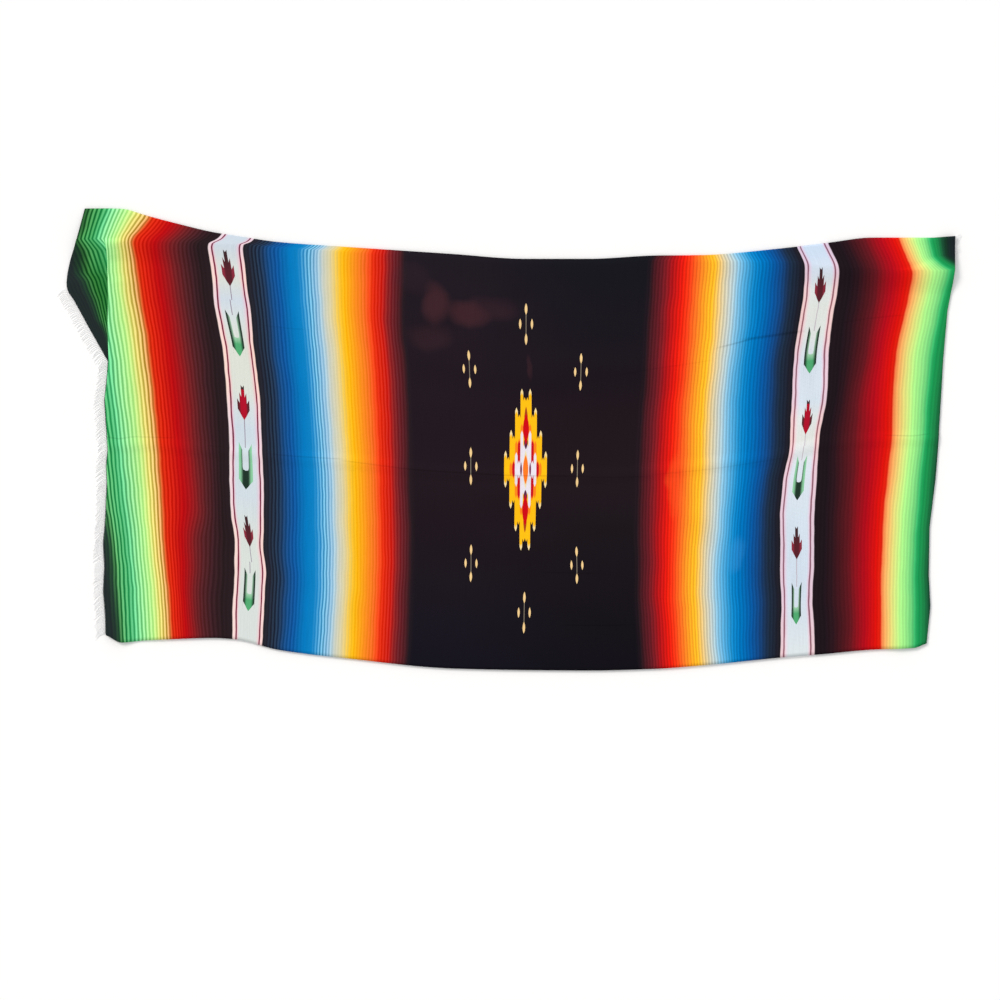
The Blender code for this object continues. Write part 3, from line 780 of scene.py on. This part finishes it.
# Yarns of the motifs. Each shades from its middle line outwards, between the two places beside it named.
BUD_SHADING = (5.0, 11.0)
BUD_RED = "#AE142C"
BUD_WINE = "#8C2E3E"
BUD_MAROON = ("#5A242C", "#42292D")  # at a bud's foot and its tip
BUD_FADE = (-0.01, 0.03)  # heights between which a bud's maroon goes over from its foot's to its tip's
BUD_TIP = 0.033  # height above which a bud is all maroon
LEAF_SHADING = (5.0, 13.0)
LEAF_GREEN = "#52AA72"
LEAF_PALE = "#A8D4B4"
LEAF_EDGE = "#8ACA9E"
LEAF_DARK = "#22362B"
LEAF_FORK = (-0.026, -0.008)  # heights between which a leaf pales where it parts into its two arms
STEM_MAUVE = ("#958A9A", "#BDB2BC")  # on the left and right bands
STEM_HALF_WIDTH = 0.0010
STEM_BELOW_BUD = -0.0405
STEM_ABOVE_LEAF = 0.044

# Little crosses in the black field, each of lens-shaped drops and a thread, mirrored about their middle.
CROSSES_ACROSS = 0.4905
CROSS_SIDE_ALONG = (0.1345, 0.1300)  # on the left and on the right
CROSS_SIDE_STEP = 0.2346
CROSS_SIDES_END = 1.4 * CROSS_SIDE_STEP  # how far from their middle the side crosses may reach
CROSS_END_ACROSS = 0.3508
CROSS_SPREAD = (1.0, 1.12)  # how tall the side crosses and the end ones are
CROSS_DROPS = (
    ("along", "across", "half_along", "half_across"),
    (0.0, 0.0328, 0.0031, 0.0128),
    (0.0136, 0.0, 0.0028, 0.0116),
)
THREAD = (0.0008, 0.030)  # half width and half height of a cross's thread
CROSS_CREAM = "#F2CE92"
THREAD_GREY = "#8A8070"

# The central diamond, charted a column at a time in millimetres from its middle: each column's yarns reach
# the heights named, gold outermost, then orange, red and white.
DIAMOND_ACROSS = 0.4876
DIAMOND_COLUMN = 6.6
DIAMOND_CHART = (
    ("gold", "orange", "red", "white"),
    (176.0, 0.0, 0.0, 64.0),
    (197.0, 112.0, 0.0, 95.0),
    (134.0, 76.0, 71.0, 22.0),
    (151.0, 70.0, 0.0, 42.0),
    (82.0, 24.0, 20.0, 0.0),
    (96.0, 18.0, 0.0, 0.0),
    (30.0, 0.0, 0.0, 0.0),
    (45.0, 0.0, 0.0, 0.0),
)
DIAMOND_REACH = 200.0
DIAMOND_POINT = 9.0  # how far each column's yarn tapers at its tip
COLUMN_TAPER = ((0.02, 1.0), (0.5, 0.0), (0.98, 1.0))  # places across a column, and their share of that
TIP_LENGTH = 9.0  # length of the cream tip on each gold column
DIAMOND_YARNS = dict(gold="#FFBE14", orange="#FF8420", red="#C81020", white="#E8E2EC")
TIP_CREAM = "#F7DDA0"

# Lens-shaped inlays over the diamond's columns, mirrored both ways, in metres from its middle.
DIAMOND_LENSES = (
    ("along", "across", "half_along", "half_across", "yarn"),
    (0.0, 0.124, 0.0042, 0.030, "#A8481A"),
    (0.0, 0.066, 0.0046, 0.017, "#5E2A48"),
    (0.0, 0.099, 0.0072, 0.038, "#CE0C18"),
    (0.0, 0.000, 0.0062, 0.047, "#F0DDA8"),
    (0.0, 0.000, 0.0066, 0.036, "#FF7A24"),
    (0.0112, 0.0, 0.0024, 0.018, "#7A3458"),
)

# The weave itself.
RIB_PITCH = 0.0032  # the real ribs are 2.2 mm apart, drawn a little coarser so that they show
PICK_PITCH = 0.0021  # the real picks are under 1 mm apart, and are drawn coarser for the same reason
RIB_HEIGHT = 0.0005
WEAVE_STRENGTH = 0.15  # how much of the weave's height is seen
PICK_SHARE = 0.35  # height of a pick, as a share of a rib's
FUZZ_SHARE = 0.8  # height of the loose fibres, as a share of a rib's
FUZZ_SCALE = 900.0  # loose fibres a metre
STREAK_SCALE = 14.0  # streaks of uneven yarn a metre, down the picks
STREAKS = (0.90, 1.10)  # how dark and how light the streaks are
BEAT_SCALE = (22.0, 13.0)  # how often a metre the beat changes, along the web and across it

COTTON = ("#F2F2F4", "#FEFEFE")  # between the plies, a little darker as painted shade in the grooves, and on them
PLIES = 2
TWISTS = 9.0  # turns of the plies along a strand
PLY_HEIGHT = STRAND_RADIUS / 3
PLY_STRENGTH = 0.4  # how much of the plies' height is seen


def linear(code):
    """A colour from its sRGB hex code, as the linear values that the nodes take."""
    parts = [int(code[i : i + 2], 16) / 255 for i in (1, 3, 5)]
    return (*(p / 12.92 if p <= 0.04045 else ((p + 0.055) / 1.055) ** 2.4 for p in parts), 1.0)


def add(tree, kind, inputs=(), stops=None, interpolation="LINEAR", **settings):
    """Adds a node with its settings, and sets or links its inputs, listed in order or given by name.

    A ramp also takes stops, each a place and a colour.
    """
    made = tree.nodes.new("ShaderNode" + kind)
    for name, value in settings.items():
        setattr(made, name, value)
    if stops:
        made.color_ramp.interpolation = interpolation
        for place, _ in stops[1:-1]:
            made.color_ramp.elements.new(place)
        for element, (place, colour) in zip(made.color_ramp.elements, stops):
            element.position, element.color = place, colour
    usable = [socket for socket in made.inputs if socket.enabled]
    by_name = isinstance(inputs, dict)
    for key, value in inputs.items() if by_name else enumerate(inputs):
        socket = next(each for each in usable if each.name == key) if by_name else usable[key]
        if isinstance(value, bpy.types.Node):
            value = next(output for output in value.outputs if output.enabled)
        if isinstance(value, bpy.types.NodeSocket):
            tree.links.new(value, socket)
        else:
            socket.default_value = value
    return made


def new_material(name, roughness, **values):
    """A material whose shader has these values, which are the same all over."""
    made = bpy.data.materials.new(name)
    made.use_nodes = True
    shader = made.node_tree.nodes["Principled BSDF"]
    shader.inputs["Roughness"].default_value = roughness
    for socket, value in values.items():
        shader.inputs[socket.replace("_", " ")].default_value = value
    return made, made.node_tree, shader


def laid_over(tree, ground, *layers, blend_type="MIX"):
    """The ground under layers of yarn or tint, one over another, each by its own amount."""
    for amount, layer in layers:
        layer = {"Factor": amount, "A": ground, "B": layer}
        ground = add(tree, "Mix", layer, data_type="RGBA", blend_type=blend_type)
    return ground


def either(tree, which, values):
    """The first of two values where which is zero, and the second where it is one."""
    return add(tree, "MapRange", {"Value": which, "To Min": values[0], "To Max": values[1]})


def passed(tree, *spans, interpolation_type="LINEAR"):
    """How far every value has gone through its own span: zero at the span's start and one at its end."""
    amount = 1.0
    for value, (start, end) in spans:
        way = {"Value": value, "From Min": start, "From Max": end}
        way = add(tree, "MapRange", way, interpolation_type=interpolation_type)
        amount = add(tree, "Math", [way, amount], operation="MULTIPLY")
    return amount


def offset_from(tree, value, middle):
    """How far a value is from a middle, without its sign."""
    away = add(tree, "Math", [value, middle], operation="SUBTRACT")
    return add(tree, "Math", [away], operation="ABSOLUTE")


def between(tree, value, low, high):
    """One where the value lies between two others."""
    above = add(tree, "Math", [value, low], operation="GREATER_THAN")
    below = add(tree, "Math", [value, high], operation="LESS_THAN")
    return add(tree, "Math", [above, below], operation="MULTIPLY")


def charted(tree, place, stops, interpolation="LINEAR"):
    """The four numbers that a chart holds at a place."""
    chart = add(tree, "ValToRGB", [place], stops=stops, interpolation=interpolation)
    split = add(tree, "SeparateColor", [chart])
    return [*split.outputs, chart.outputs["Alpha"]]


def zone_ramp(tree, place, zone, yarns, column):
    """The yarns of one zone laid out along the web."""
    names, *rows = yarns
    pick = names.index(column)
    start, end = zone["start"], zone["end"]
    stops = [((row[0] - start) / (end - start), linear(row[pick])) for row in rows]
    return add(tree, "ValToRGB", [passed(tree, (place, (start, end)))], stops=stops)


def two_picks(tree, mirror, toned, right, zone, yarns):
    """The light and the dark pick taking turns across one zone, and the closer picks of the right half."""
    turn = add(tree, "Math", [mirror, zone["light_pick"]], operation="SUBTRACT")
    turn = add(tree, "Math", [turn, 2 * math.pi / zone["pitch"]], operation="MULTIPLY")
    wave = add(tree, "Math", [turn], operation="COSINE")
    share = add(tree, "Math", [wave, CRISPNESS / 2, 0.5], operation="MULTIPLY_ADD", use_clamp=True)
    light, dark, closer = (zone_ramp(tree, toned, zone, yarns, name) for name in yarns[0][1:])
    level = add(tree, "Math", [wave, zone["right_step"], 1.0], operation="MULTIPLY_ADD")
    closer = laid_over(tree, closer, (1.0, level), blend_type="MULTIPLY")
    return laid_over(tree, dark, (share, light), (right, closer))


def stripes(tree, mirror, toned, right):
    """The whole web's stripes, from its middle to its ends, with their shades by the toned place."""
    picked = ((NAVY_ZONE, NAVY_YARNS), (END_ZONE, END_YARNS))
    navy, end = (two_picks(tree, mirror, toned, right, *zone) for zone in picked)
    band = [zone_ramp(tree, mirror, BAND_ZONE, BAND_YARNS, name) for name in BAND_YARNS[0][1:]]
    band = laid_over(tree, band[0], (right, band[1]))
    colour = two_picks(tree, mirror, toned, right, CENTRE_ZONE, CENTRE_YARNS)
    for zone, yarns in ((NAVY_ZONE, navy), (BAND_ZONE, band), (END_ZONE, end)):
        past = add(tree, "Math", [mirror, zone["start"]], operation="GREATER_THAN")
        colour = laid_over(tree, colour, (past, yarns))
    return colour


def lens(tree, along, across, half_along, half_across):
    """One inside a pointed lens round the origin, and zero outside it."""
    wide = add(tree, "Math", [along, half_along], operation="DIVIDE")
    wide = add(tree, "Math", [wide], operation="ABSOLUTE")
    tall = add(tree, "Math", [across, half_across], operation="DIVIDE")
    tall = add(tree, "Math", [tall, tall, wide], operation="MULTIPLY_ADD")
    return add(tree, "Math", [tall, 1.0], operation="LESS_THAN")


def crosses(tree, ground, mirror, across, right):
    """The eight crosses: three pairs at the sides and one on the middle line at each end."""
    from_middle = offset_from(tree, across, CROSSES_ACROSS)
    at_side = offset_from(tree, mirror, either(tree, right, CROSS_SIDE_ALONG))
    nearest = add(tree, "Math", [from_middle, CROSS_SIDE_STEP / 2], operation="PINGPONG")
    inside = add(tree, "Math", [from_middle, CROSS_SIDES_END], operation="LESS_THAN")
    at_end = offset_from(tree, from_middle, CROSS_END_ACROSS)
    sets = ((at_side, nearest, inside, CROSS_SPREAD[0]), (mirror, at_end, 1.0, CROSS_SPREAD[1]))
    for along, height, shown, spread in sets:
        line = add(tree, "Math", [along, THREAD[0]], operation="LESS_THAN")
        short = add(tree, "Math", [height, THREAD[1] * spread], operation="LESS_THAN")
        pieces = [(add(tree, "Math", [line, short], operation="MULTIPLY"), THREAD_GREY)]
        for u, v, half_u, half_v in CROSS_DROPS[1:]:
            wide, tall = offset_from(tree, along, u), offset_from(tree, height, v * spread)
            pieces.append((lens(tree, wide, tall, half_u, half_v * spread), CROSS_CREAM))
        for piece, yarn in pieces:
            piece = add(tree, "Math", [piece, shown], operation="MULTIPLY")
            ground = laid_over(tree, ground, (piece, linear(yarn)))
    return ground


def gold_tips(tree, mirror, height, edge):
    """The cream tips of the diamond's gold, on every second column."""
    cut = add(tree, "Math", [edge, TIP_LENGTH / DIAMOND_REACH], operation="SUBTRACT")
    pair = add(tree, "Math", [mirror, 2 * DIAMOND_COLUMN / 1000], operation="MODULO")
    second = add(tree, "Math", [pair, DIAMOND_COLUMN / 1000], operation="GREATER_THAN")
    return add(tree, "Math", [between(tree, height, cut, edge), second], operation="MULTIPLY")


def diamond(tree, ground, mirror, across):
    """The stepped diamond: columns of gold round orange, red and white, with lenses laid in over them."""
    from_middle = offset_from(tree, across, DIAMOND_ACROSS)
    names, *columns = DIAMOND_CHART
    reach = DIAMOND_COLUMN * (len(columns) + 1)
    stops = []
    for k, heights in enumerate(columns):
        for part, taper in COLUMN_TAPER:
            shares = [max(0.0, height - taper * DIAMOND_POINT) / DIAMOND_REACH for height in heights]
            stops.append(((k + part) * DIAMOND_COLUMN / reach, tuple(shares)))
    stops.append((len(columns) * DIAMOND_COLUMN / reach, (0.0, 0.0, 0.0, 0.0)))
    within = add(tree, "Math", [mirror, reach / 1000], operation="DIVIDE")
    height = add(tree, "Math", [from_middle, DIAMOND_REACH / 1000], operation="DIVIDE")
    for name, edge in zip(names, charted(tree, within, stops)):
        inside = add(tree, "Math", [height, edge], operation="LESS_THAN")
        ground = laid_over(tree, ground, (inside, linear(DIAMOND_YARNS[name])))
        if name == "gold":
            ground = laid_over(tree, ground, (gold_tips(tree, mirror, height, edge), linear(TIP_CREAM)))
    for u, v, half_u, half_v, yarn in DIAMOND_LENSES[1:]:
        wide, tall = offset_from(tree, mirror, u), offset_from(tree, from_middle, v)
        ground = laid_over(tree, ground, (lens(tree, wide, tall, half_u, half_v), linear(yarn)))
    return ground


def chart_ramp(tree, beside, chart):
    """A motif's chart: its top and its bottom at each place beside its middle line."""
    stops = [
        (place / CHART_WIDTH, ((top / CHART_REACH + 1) / 2, (bottom / CHART_REACH + 1) / 2, 0.0, 1.0))
        for place, top, bottom in chart[1:]
    ]
    return add(tree, "ValToRGB", [beside], stops=stops)


def outward(tree, beside, places):
    """How far a motif's colour has shaded from its middle line outwards."""
    span = [place / CHART_WIDTH for place in places]
    return passed(tree, (beside, span), interpolation_type="SMOOTHSTEP")


def bud_yarns(tree, beside, height, dark_core):
    """A bud's red in a maroon rim, or its maroon in a wine one."""
    upward = passed(tree, (height, BUD_FADE))
    maroon = laid_over(tree, linear(BUD_MAROON[0]), (upward, linear(BUD_MAROON[1])))
    side_shade = outward(tree, beside, BUD_SHADING)
    tip = add(tree, "Math", [height, BUD_TIP], operation="GREATER_THAN")
    rim = add(tree, "Math", [side_shade, tip], operation="MAXIMUM")
    red_bud = laid_over(tree, linear(BUD_RED), (rim, maroon))
    dark_bud = laid_over(tree, maroon, (side_shade, linear(BUD_WINE)))
    return laid_over(tree, red_bud, (dark_core, dark_bud))


def leaf_yarns(tree, beside, height, dark_core):
    """A leaf's green in a dark edge, paling towards its arms, or its dark green in a light edge."""
    forked = passed(tree, (height, LEAF_FORK))
    side_shade = outward(tree, beside, LEAF_SHADING)
    green = laid_over(tree, linear(LEAF_GREEN), (forked, linear(LEAF_PALE)))
    green_leaf = laid_over(tree, green, (side_shade, linear(LEAF_DARK)))
    dark_leaf = laid_over(tree, linear(LEAF_DARK), (side_shade, linear(LEAF_EDGE)))
    return laid_over(tree, green_leaf, (dark_core, dark_leaf))


def stems(tree, ground, away, height, bud, across, right):
    """The thin stems between each bud and the leaf under it."""
    above_leaf = add(tree, "Math", [height, STEM_ABOVE_LEAF], operation="GREATER_THAN")
    below_bud = add(tree, "Math", [height, STEM_BELOW_BUD], operation="LESS_THAN")
    thin = add(tree, "Math", [away, STEM_HALF_WIDTH], operation="LESS_THAN")
    stem = add(tree, "Math", [either(tree, bud, (above_leaf, below_bud)), thin], operation="MULTIPLY")
    ends = between(tree, across, BAND_MOTIFS[1][1], BAND_MOTIFS[-1][1])
    stem = add(tree, "Math", [stem, ends], operation="MULTIPLY")
    mauve = laid_over(tree, linear(STEM_MAUVE[0]), (right, linear(STEM_MAUVE[1])))
    return laid_over(tree, ground, (stem, mauve))


def band_motifs(tree, ground, mirror, across, right):
    """Buds on their stems above forked leaves, down each white band."""
    within = add(tree, "Math", [across, WIDTH], operation="DIVIDE")
    stops = [(row[0] / WIDTH, (row[1] / WIDTH, row[2] / WIDTH, *row[3:])) for row in BAND_MOTIFS[1:]]
    *middles, bud, dark_core = charted(tree, within, stops, "CONSTANT")
    middle = add(tree, "Math", [either(tree, right, middles), WIDTH], operation="MULTIPLY")
    height = add(tree, "Math", [across, middle], operation="SUBTRACT")

    # A ramp holds numbers from zero to one, so sizes are halved in it and leans have a half added.
    stops = [
        (start / WIDTH, (*(size / 2 for size in hand[:2]), *(lean + 0.5 for lean in hand[2:])))
        for start, *hand in MOTIF_HAND[1:]
    ]
    hand = charted(tree, within, stops, "CONSTANT")
    size = add(tree, "Math", [either(tree, right, hand[:2]), 2.0], operation="MULTIPLY")
    lean = add(tree, "Math", [either(tree, right, hand[2:]), 0.5], operation="SUBTRACT")
    lean = add(tree, "Math", [lean, height], operation="MULTIPLY")
    upright = add(tree, "Math", [mirror, lean], operation="SUBTRACT")
    away = offset_from(tree, upright, either(tree, right, BAND_MIDDLE))
    wide = add(tree, "Math", [either(tree, right, MOTIF_SPREAD), CHART_WIDTH / 1000], operation="MULTIPLY")
    wide = add(tree, "Math", [wide, size], operation="MULTIPLY")
    beside = add(tree, "Math", [away, wide], operation="DIVIDE")
    height = add(tree, "Math", [height, size], operation="DIVIDE")

    reach = CHART_REACH / 1000
    level = passed(tree, (height, (-reach, reach)))
    leaf_chart, bud_chart = (chart_ramp(tree, beside, chart) for chart in (LEAF_CHART, BUD_CHART))
    edges = add(tree, "SeparateColor", [laid_over(tree, leaf_chart, (bud, bud_chart))])
    shown = between(tree, level, edges.outputs[1], edges.outputs[0])
    leaf_colour, bud_colour = (yarns(tree, beside, height, dark_core) for yarns in (leaf_yarns, bud_yarns))
    colour = laid_over(tree, leaf_colour, (bud, bud_colour))
    ground = stems(tree, ground, away, height, bud, across, right)
    return laid_over(tree, ground, (shown, colour))


def two_sides(tree, value, which, rows):
    """Two ramps over a table's first column, one where which is zero and the other where it is one."""
    reach = rows[-1][0]
    within = add(tree, "Math", [value, reach], operation="DIVIDE")
    ramps = [
        add(tree, "ValToRGB", [within], stops=[(row[0] / reach, linear(row[k])) for row in rows[1:]])
        for k in (1, 2)
    ]
    return laid_over(tree, ramps[0], (which, ramps[1]))


def tints_and_painted_light(tree, colour, along, mirror, across, right):
    """The colour with its slow changes: painted sky and warm light on the white bands, a black field whose
    shade changes across the web and from left to right, and painted shade on the flap.
    """
    # Painted light: bluish and warm tints laid over the white bands.
    on_band = between(tree, mirror, BAND_ZONE["start"], BAND_ZONE["end"])
    tint = two_sides(tree, across, right, BAND_PAINTED_LIGHT)
    colour = laid_over(tree, colour, (on_band, tint), blend_type="MULTIPLY")
    # The field's black changes across the web, and goes over from its left shades to its right ones near the
    # middle.
    turning = passed(tree, (along, FIELD_TURN), interpolation_type="SMOOTHSTEP")
    field = passed(tree, (mirror, FIELD_EDGE), interpolation_type="SMOOTHSTEP")
    colour = laid_over(tree, colour, (field, two_sides(tree, across, turning, FIELD_BLACKS)))
    # Painted shade: the flap past the left fold is darkened over its greens, where it falls away into shade,
    # more so low down.
    shade = (passed(tree, (across, LOW_DOWN)), linear(FLAP_PAINTED_SHADE[1]))
    shade = laid_over(tree, linear(FLAP_PAINTED_SHADE[0]), shade)
    flap = passed(tree, (along, PAST_FOLD), (across, ON_FLAP), (mirror, STILL_GREEN))
    return laid_over(tree, colour, (flap, shade), blend_type="MULTIPLY")


def painted_sheen(tree, colour, weft):
    """Patches of painted sheen where light catches the folds, each an oval with a soft and wandering edge.
    """
    drift = add(tree, "TexNoise", {"Vector": weft, "Scale": SHEEN_DRIFT_SCALE, "Detail": 2.0})
    most = (SHEEN_DRIFT, SHEEN_DRIFT, 0.0)
    drifted = add(tree, "VectorMath", [drift.outputs["Color"], most, weft], operation="MULTIPLY_ADD")
    # Painted highlights, each laid over the colour by its strength.
    for u, v, half_u, half_v, strength, sheen_tint in PAINTED_SHEEN_PATCHES[1:]:
        middle = (u + SHEEN_DRIFT / 2, v + SHEEN_DRIFT / 2, 0.0)
        patch = {"Vector": drifted, "Location": middle, "Scale": (half_u, half_v, 1.0)}
        patch = add(tree, "Mapping", patch, vector_type="TEXTURE")
        reach = add(tree, "VectorMath", [patch, patch], operation="DOT_PRODUCT")
        amount = passed(tree, (reach, (SHEEN_REACH, 0.0)), interpolation_type="SMOOTHSTEP")
        amount = add(tree, "Math", [amount, strength], operation="MULTIPLY")
        colour = laid_over(tree, colour, (amount, linear(sheen_tint)))
    return colour


def painted_crease_shades(tree, colour, along, across):
    """Painted shade along the lines where the web was folded away, each drawn from its start to its end."""
    # Painted shade: the colour is darkened by depth along each line, fading over its width and at its tips.
    for start, start_across, end, end_across, depth, width in PAINTED_CREASE_SHADES[1:]:
        slope = (end_across - start_across) / (end - start)
        level = [along, slope, start_across - slope * start]
        level = add(tree, "Math", level, operation="MULTIPLY_ADD")
        dim = {"Value": offset_from(tree, across, level), "From Max": width, "To Min": 1.0 - depth}
        dim = add(tree, "MapRange", dim, interpolation_type="SMOOTHSTEP")
        half = (end - start) / 2
        tips = passed(tree, (offset_from(tree, along, start + half), (half, half - CREASE_SHADE_TIP)))
        colour = laid_over(tree, colour, (tips, dim), blend_type="MULTIPLY")
    return colour


def toned_place(tree, place, along, across):
    """The place by which the shades go: parts of the left end's greens turn dark sooner, or later."""
    late = passed(tree, (along, PAST_FOLD), (across, ON_FLAP), (across, LOW_DOWN))
    corner = passed(tree, (along, CORNER_ALONG), (across, CORNER_ACROSS))
    strip = passed(tree, (along, PAST_FOLD), (across, IN_STRIP))
    for amount, sooner in ((late, -FLAP_LATE), (corner, CORNER_EARLY), (strip, STRIP_EARLY)):
        place = add(tree, "Math", [amount, sooner, place], operation="MULTIPLY_ADD")
    return place


def woven_acrylic():
    """Acrylic yarn, woven weft-faced: matt, dense colour in fine picks, ribbed where the warp runs under."""
    made, tree, shader = new_material(
        "woven_acrylic", 0.90, IOR=1.49, Specular_IOR_Level=0.02, Sheen_Weight=0.01, Sheen_Roughness=0.5
    )
    split = add(tree, "SeparateXYZ", [add(tree, "UVMap", uv_map="woven")])
    along = either(tree, split.outputs[0], WOVEN_ENDS)
    across = add(tree, "Math", [split.outputs[1], WIDTH], operation="MULTIPLY")
    mirror = add(tree, "Math", [along], operation="ABSOLUTE")
    right = add(tree, "Math", [along, 0.0], operation="GREATER_THAN")
    weft = add(tree, "CombineXYZ", [along, across])

    # The picks are not beaten in quite evenly.
    beat = add(tree, "Mapping", {"Vector": weft, "Scale": (*BEAT_SCALE, 1.0)})
    beat = add(tree, "TexNoise", {"Vector": beat, "Scale": 1.0, "Detail": 2.0})
    beat = add(tree, "Math", [beat, 0.5], operation="SUBTRACT")
    beaten = add(tree, "Math", [beat, UNEVEN_BEAT, mirror], operation="MULTIPLY_ADD")

    colour = stripes(tree, beaten, toned_place(tree, beaten, along, across), right)
    colour = tints_and_painted_light(tree, colour, along, mirror, across, right)
    colour = painted_sheen(tree, colour, weft)
    colour = band_motifs(tree, colour, mirror, across, right)
    colour = crosses(tree, colour, mirror, across, right)
    colour = diamond(tree, colour, mirror, across)
    colour = painted_crease_shades(tree, colour, along, across)

    # Yarn lots and hand spinning show as long faint streaks down the weft.
    streaks = add(tree, "Mapping", {"Vector": weft, "Scale": (1 / PICK_PITCH, STREAK_SCALE, 1.0)})
    streaks = add(tree, "TexNoise", {"Vector": streaks, "Scale": 1.0, "Detail": 2.0})
    colour = laid_over(tree, colour, (1.0, either(tree, streaks, STREAKS)), blend_type="MULTIPLY")
    tree.links.new(colour.outputs[2], shader.inputs["Base Color"])

    rib = add(tree, "Math", [across, 2 * math.pi / RIB_PITCH], operation="MULTIPLY")
    rib = add(tree, "Math", [rib], operation="SINE")
    pick = add(tree, "Math", [along, 2 * math.pi / PICK_PITCH], operation="MULTIPLY")
    pick = add(tree, "Math", [pick], operation="SINE")
    weave = add(tree, "Math", [pick, PICK_SHARE, rib], operation="MULTIPLY_ADD")
    fuzz = add(tree, "TexNoise", {"Vector": weft, "Scale": FUZZ_SCALE, "Detail": 3.0})
    weave = add(tree, "Math", [fuzz, FUZZ_SHARE, weave], operation="MULTIPLY_ADD")
    bump = add(tree, "Bump", {"Strength": WEAVE_STRENGTH, "Distance": RIB_HEIGHT, "Height": weave})
    tree.links.new(bump.outputs[0], shader.inputs["Normal"])
    return made


def cotton_warp():
    """Undyed cotton, spun and plied: a soft near-white, with a faint painted shade in the grooves between
    the plies that shows a diagonal twist down each strand.
    """
    made, tree, shader = new_material("cotton_warp", 0.9, IOR=1.53, Sheen_Weight=0.2, Sheen_Roughness=0.5)
    split = add(tree, "SeparateXYZ", [add(tree, "UVMap", uv_map="strand")])
    twist = add(tree, "Math", [split.outputs[1], TWISTS, split.outputs[0]], operation="MULTIPLY_ADD")
    twist = add(tree, "Math", [twist, 2 * math.pi * PLIES], operation="MULTIPLY")
    ply = add(tree, "Math", [twist], operation="SINE")
    colour = laid_over(tree, linear(COTTON[0]), (passed(tree, (ply, (-1.0, 1.0))), linear(COTTON[1])))
    tree.links.new(colour.outputs[2], shader.inputs["Base Color"])
    bump = add(tree, "Bump", {"Strength": PLY_STRENGTH, "Distance": PLY_HEIGHT, "Height": ply})
    tree.links.new(bump.outputs[0], shader.inputs["Normal"])
    return made


# ---- Floor, light and camera ----

FLOOR_SIDE = 14.0
PAPER = "#FCFCFC"
CAMERA_PLACE = (-0.0372, -0.1457, 5.0)  # straight above the cloth, with bare floor past its bottom edge
FRAME_SIDE = 2.4  # metres of floor that the view takes in, each way
SENSOR = 36.0
SKY = "#FFFFFF"
SKY_STRENGTH = 0.70
LAMPS = (
    ("name", "from", "strength", "colour", "angle"),
    ("key", (-2.6, 2.4, 2.2), 1.90, "#FFFAF4", 0.35),
    ("fill", (0.4, 5.0, 1.4), 0.5, "#DCE8FF", 0.6),
)


def floor():
    """A plain pale sheet of studio paper, wide enough for every view."""
    bpy.ops.mesh.primitive_plane_add(size=FLOOR_SIDE)
    made = bpy.context.object
    made.name = "floor"
    paper, _, shader = new_material("studio_paper", 0.95)
    shader.inputs["Base Color"].default_value = linear(PAPER)
    made.data.materials.append(paper)


def studio_light():
    """A soft white sky, with two broad lamps far off."""
    scene = bpy.context.scene
    scene.view_settings.view_transform = "Standard"
    scene.world = bpy.data.worlds.new("studio")
    scene.world.use_nodes = True
    sky = scene.world.node_tree.nodes["Background"]
    sky.inputs["Color"].default_value = linear(SKY)
    sky.inputs["Strength"].default_value = SKY_STRENGTH
    for name, place, strength, colour, angle in LAMPS[1:]:
        data = bpy.data.lights.new(name, "SUN")
        data.energy, data.angle = strength, angle
        data.color = linear(colour)[:3]
        lamp = bpy.data.objects.new(name, data)
        lamp.location = place
        lamp.rotation_euler = Vector(place).to_track_quat("Z", "Y").to_euler()
        scene.collection.objects.link(lamp)


def camera():
    """Looks straight down on the cloth."""
    scene = bpy.context.scene
    data = bpy.data.cameras.new("camera")
    data.sensor_width = SENSOR
    data.lens = SENSOR * CAMERA_PLACE[2] / FRAME_SIDE
    made = bpy.data.objects.new("camera", data)
    made.location = CAMERA_PLACE
    scene.collection.objects.link(made)
    scene.camera = made


web = woven_web(woven_acrylic())
cotton = cotton_warp()
left = warp_fringe("warp_fringe_left", True, finish=cotton, **LEFT_FRINGE)
right = warp_fringe("warp_fringe_right", False, finish=cotton, **RIGHT_FRINGE)
floor()
studio_light()
camera()

for piece, node, slot in (
    (web, "serape_web", "woven_acrylic"),
    (left, "fringe_left", "cotton_warp"),
    (right, "fringe_right", "cotton_warp"),
):
    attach(piece, "root")
    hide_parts(node)
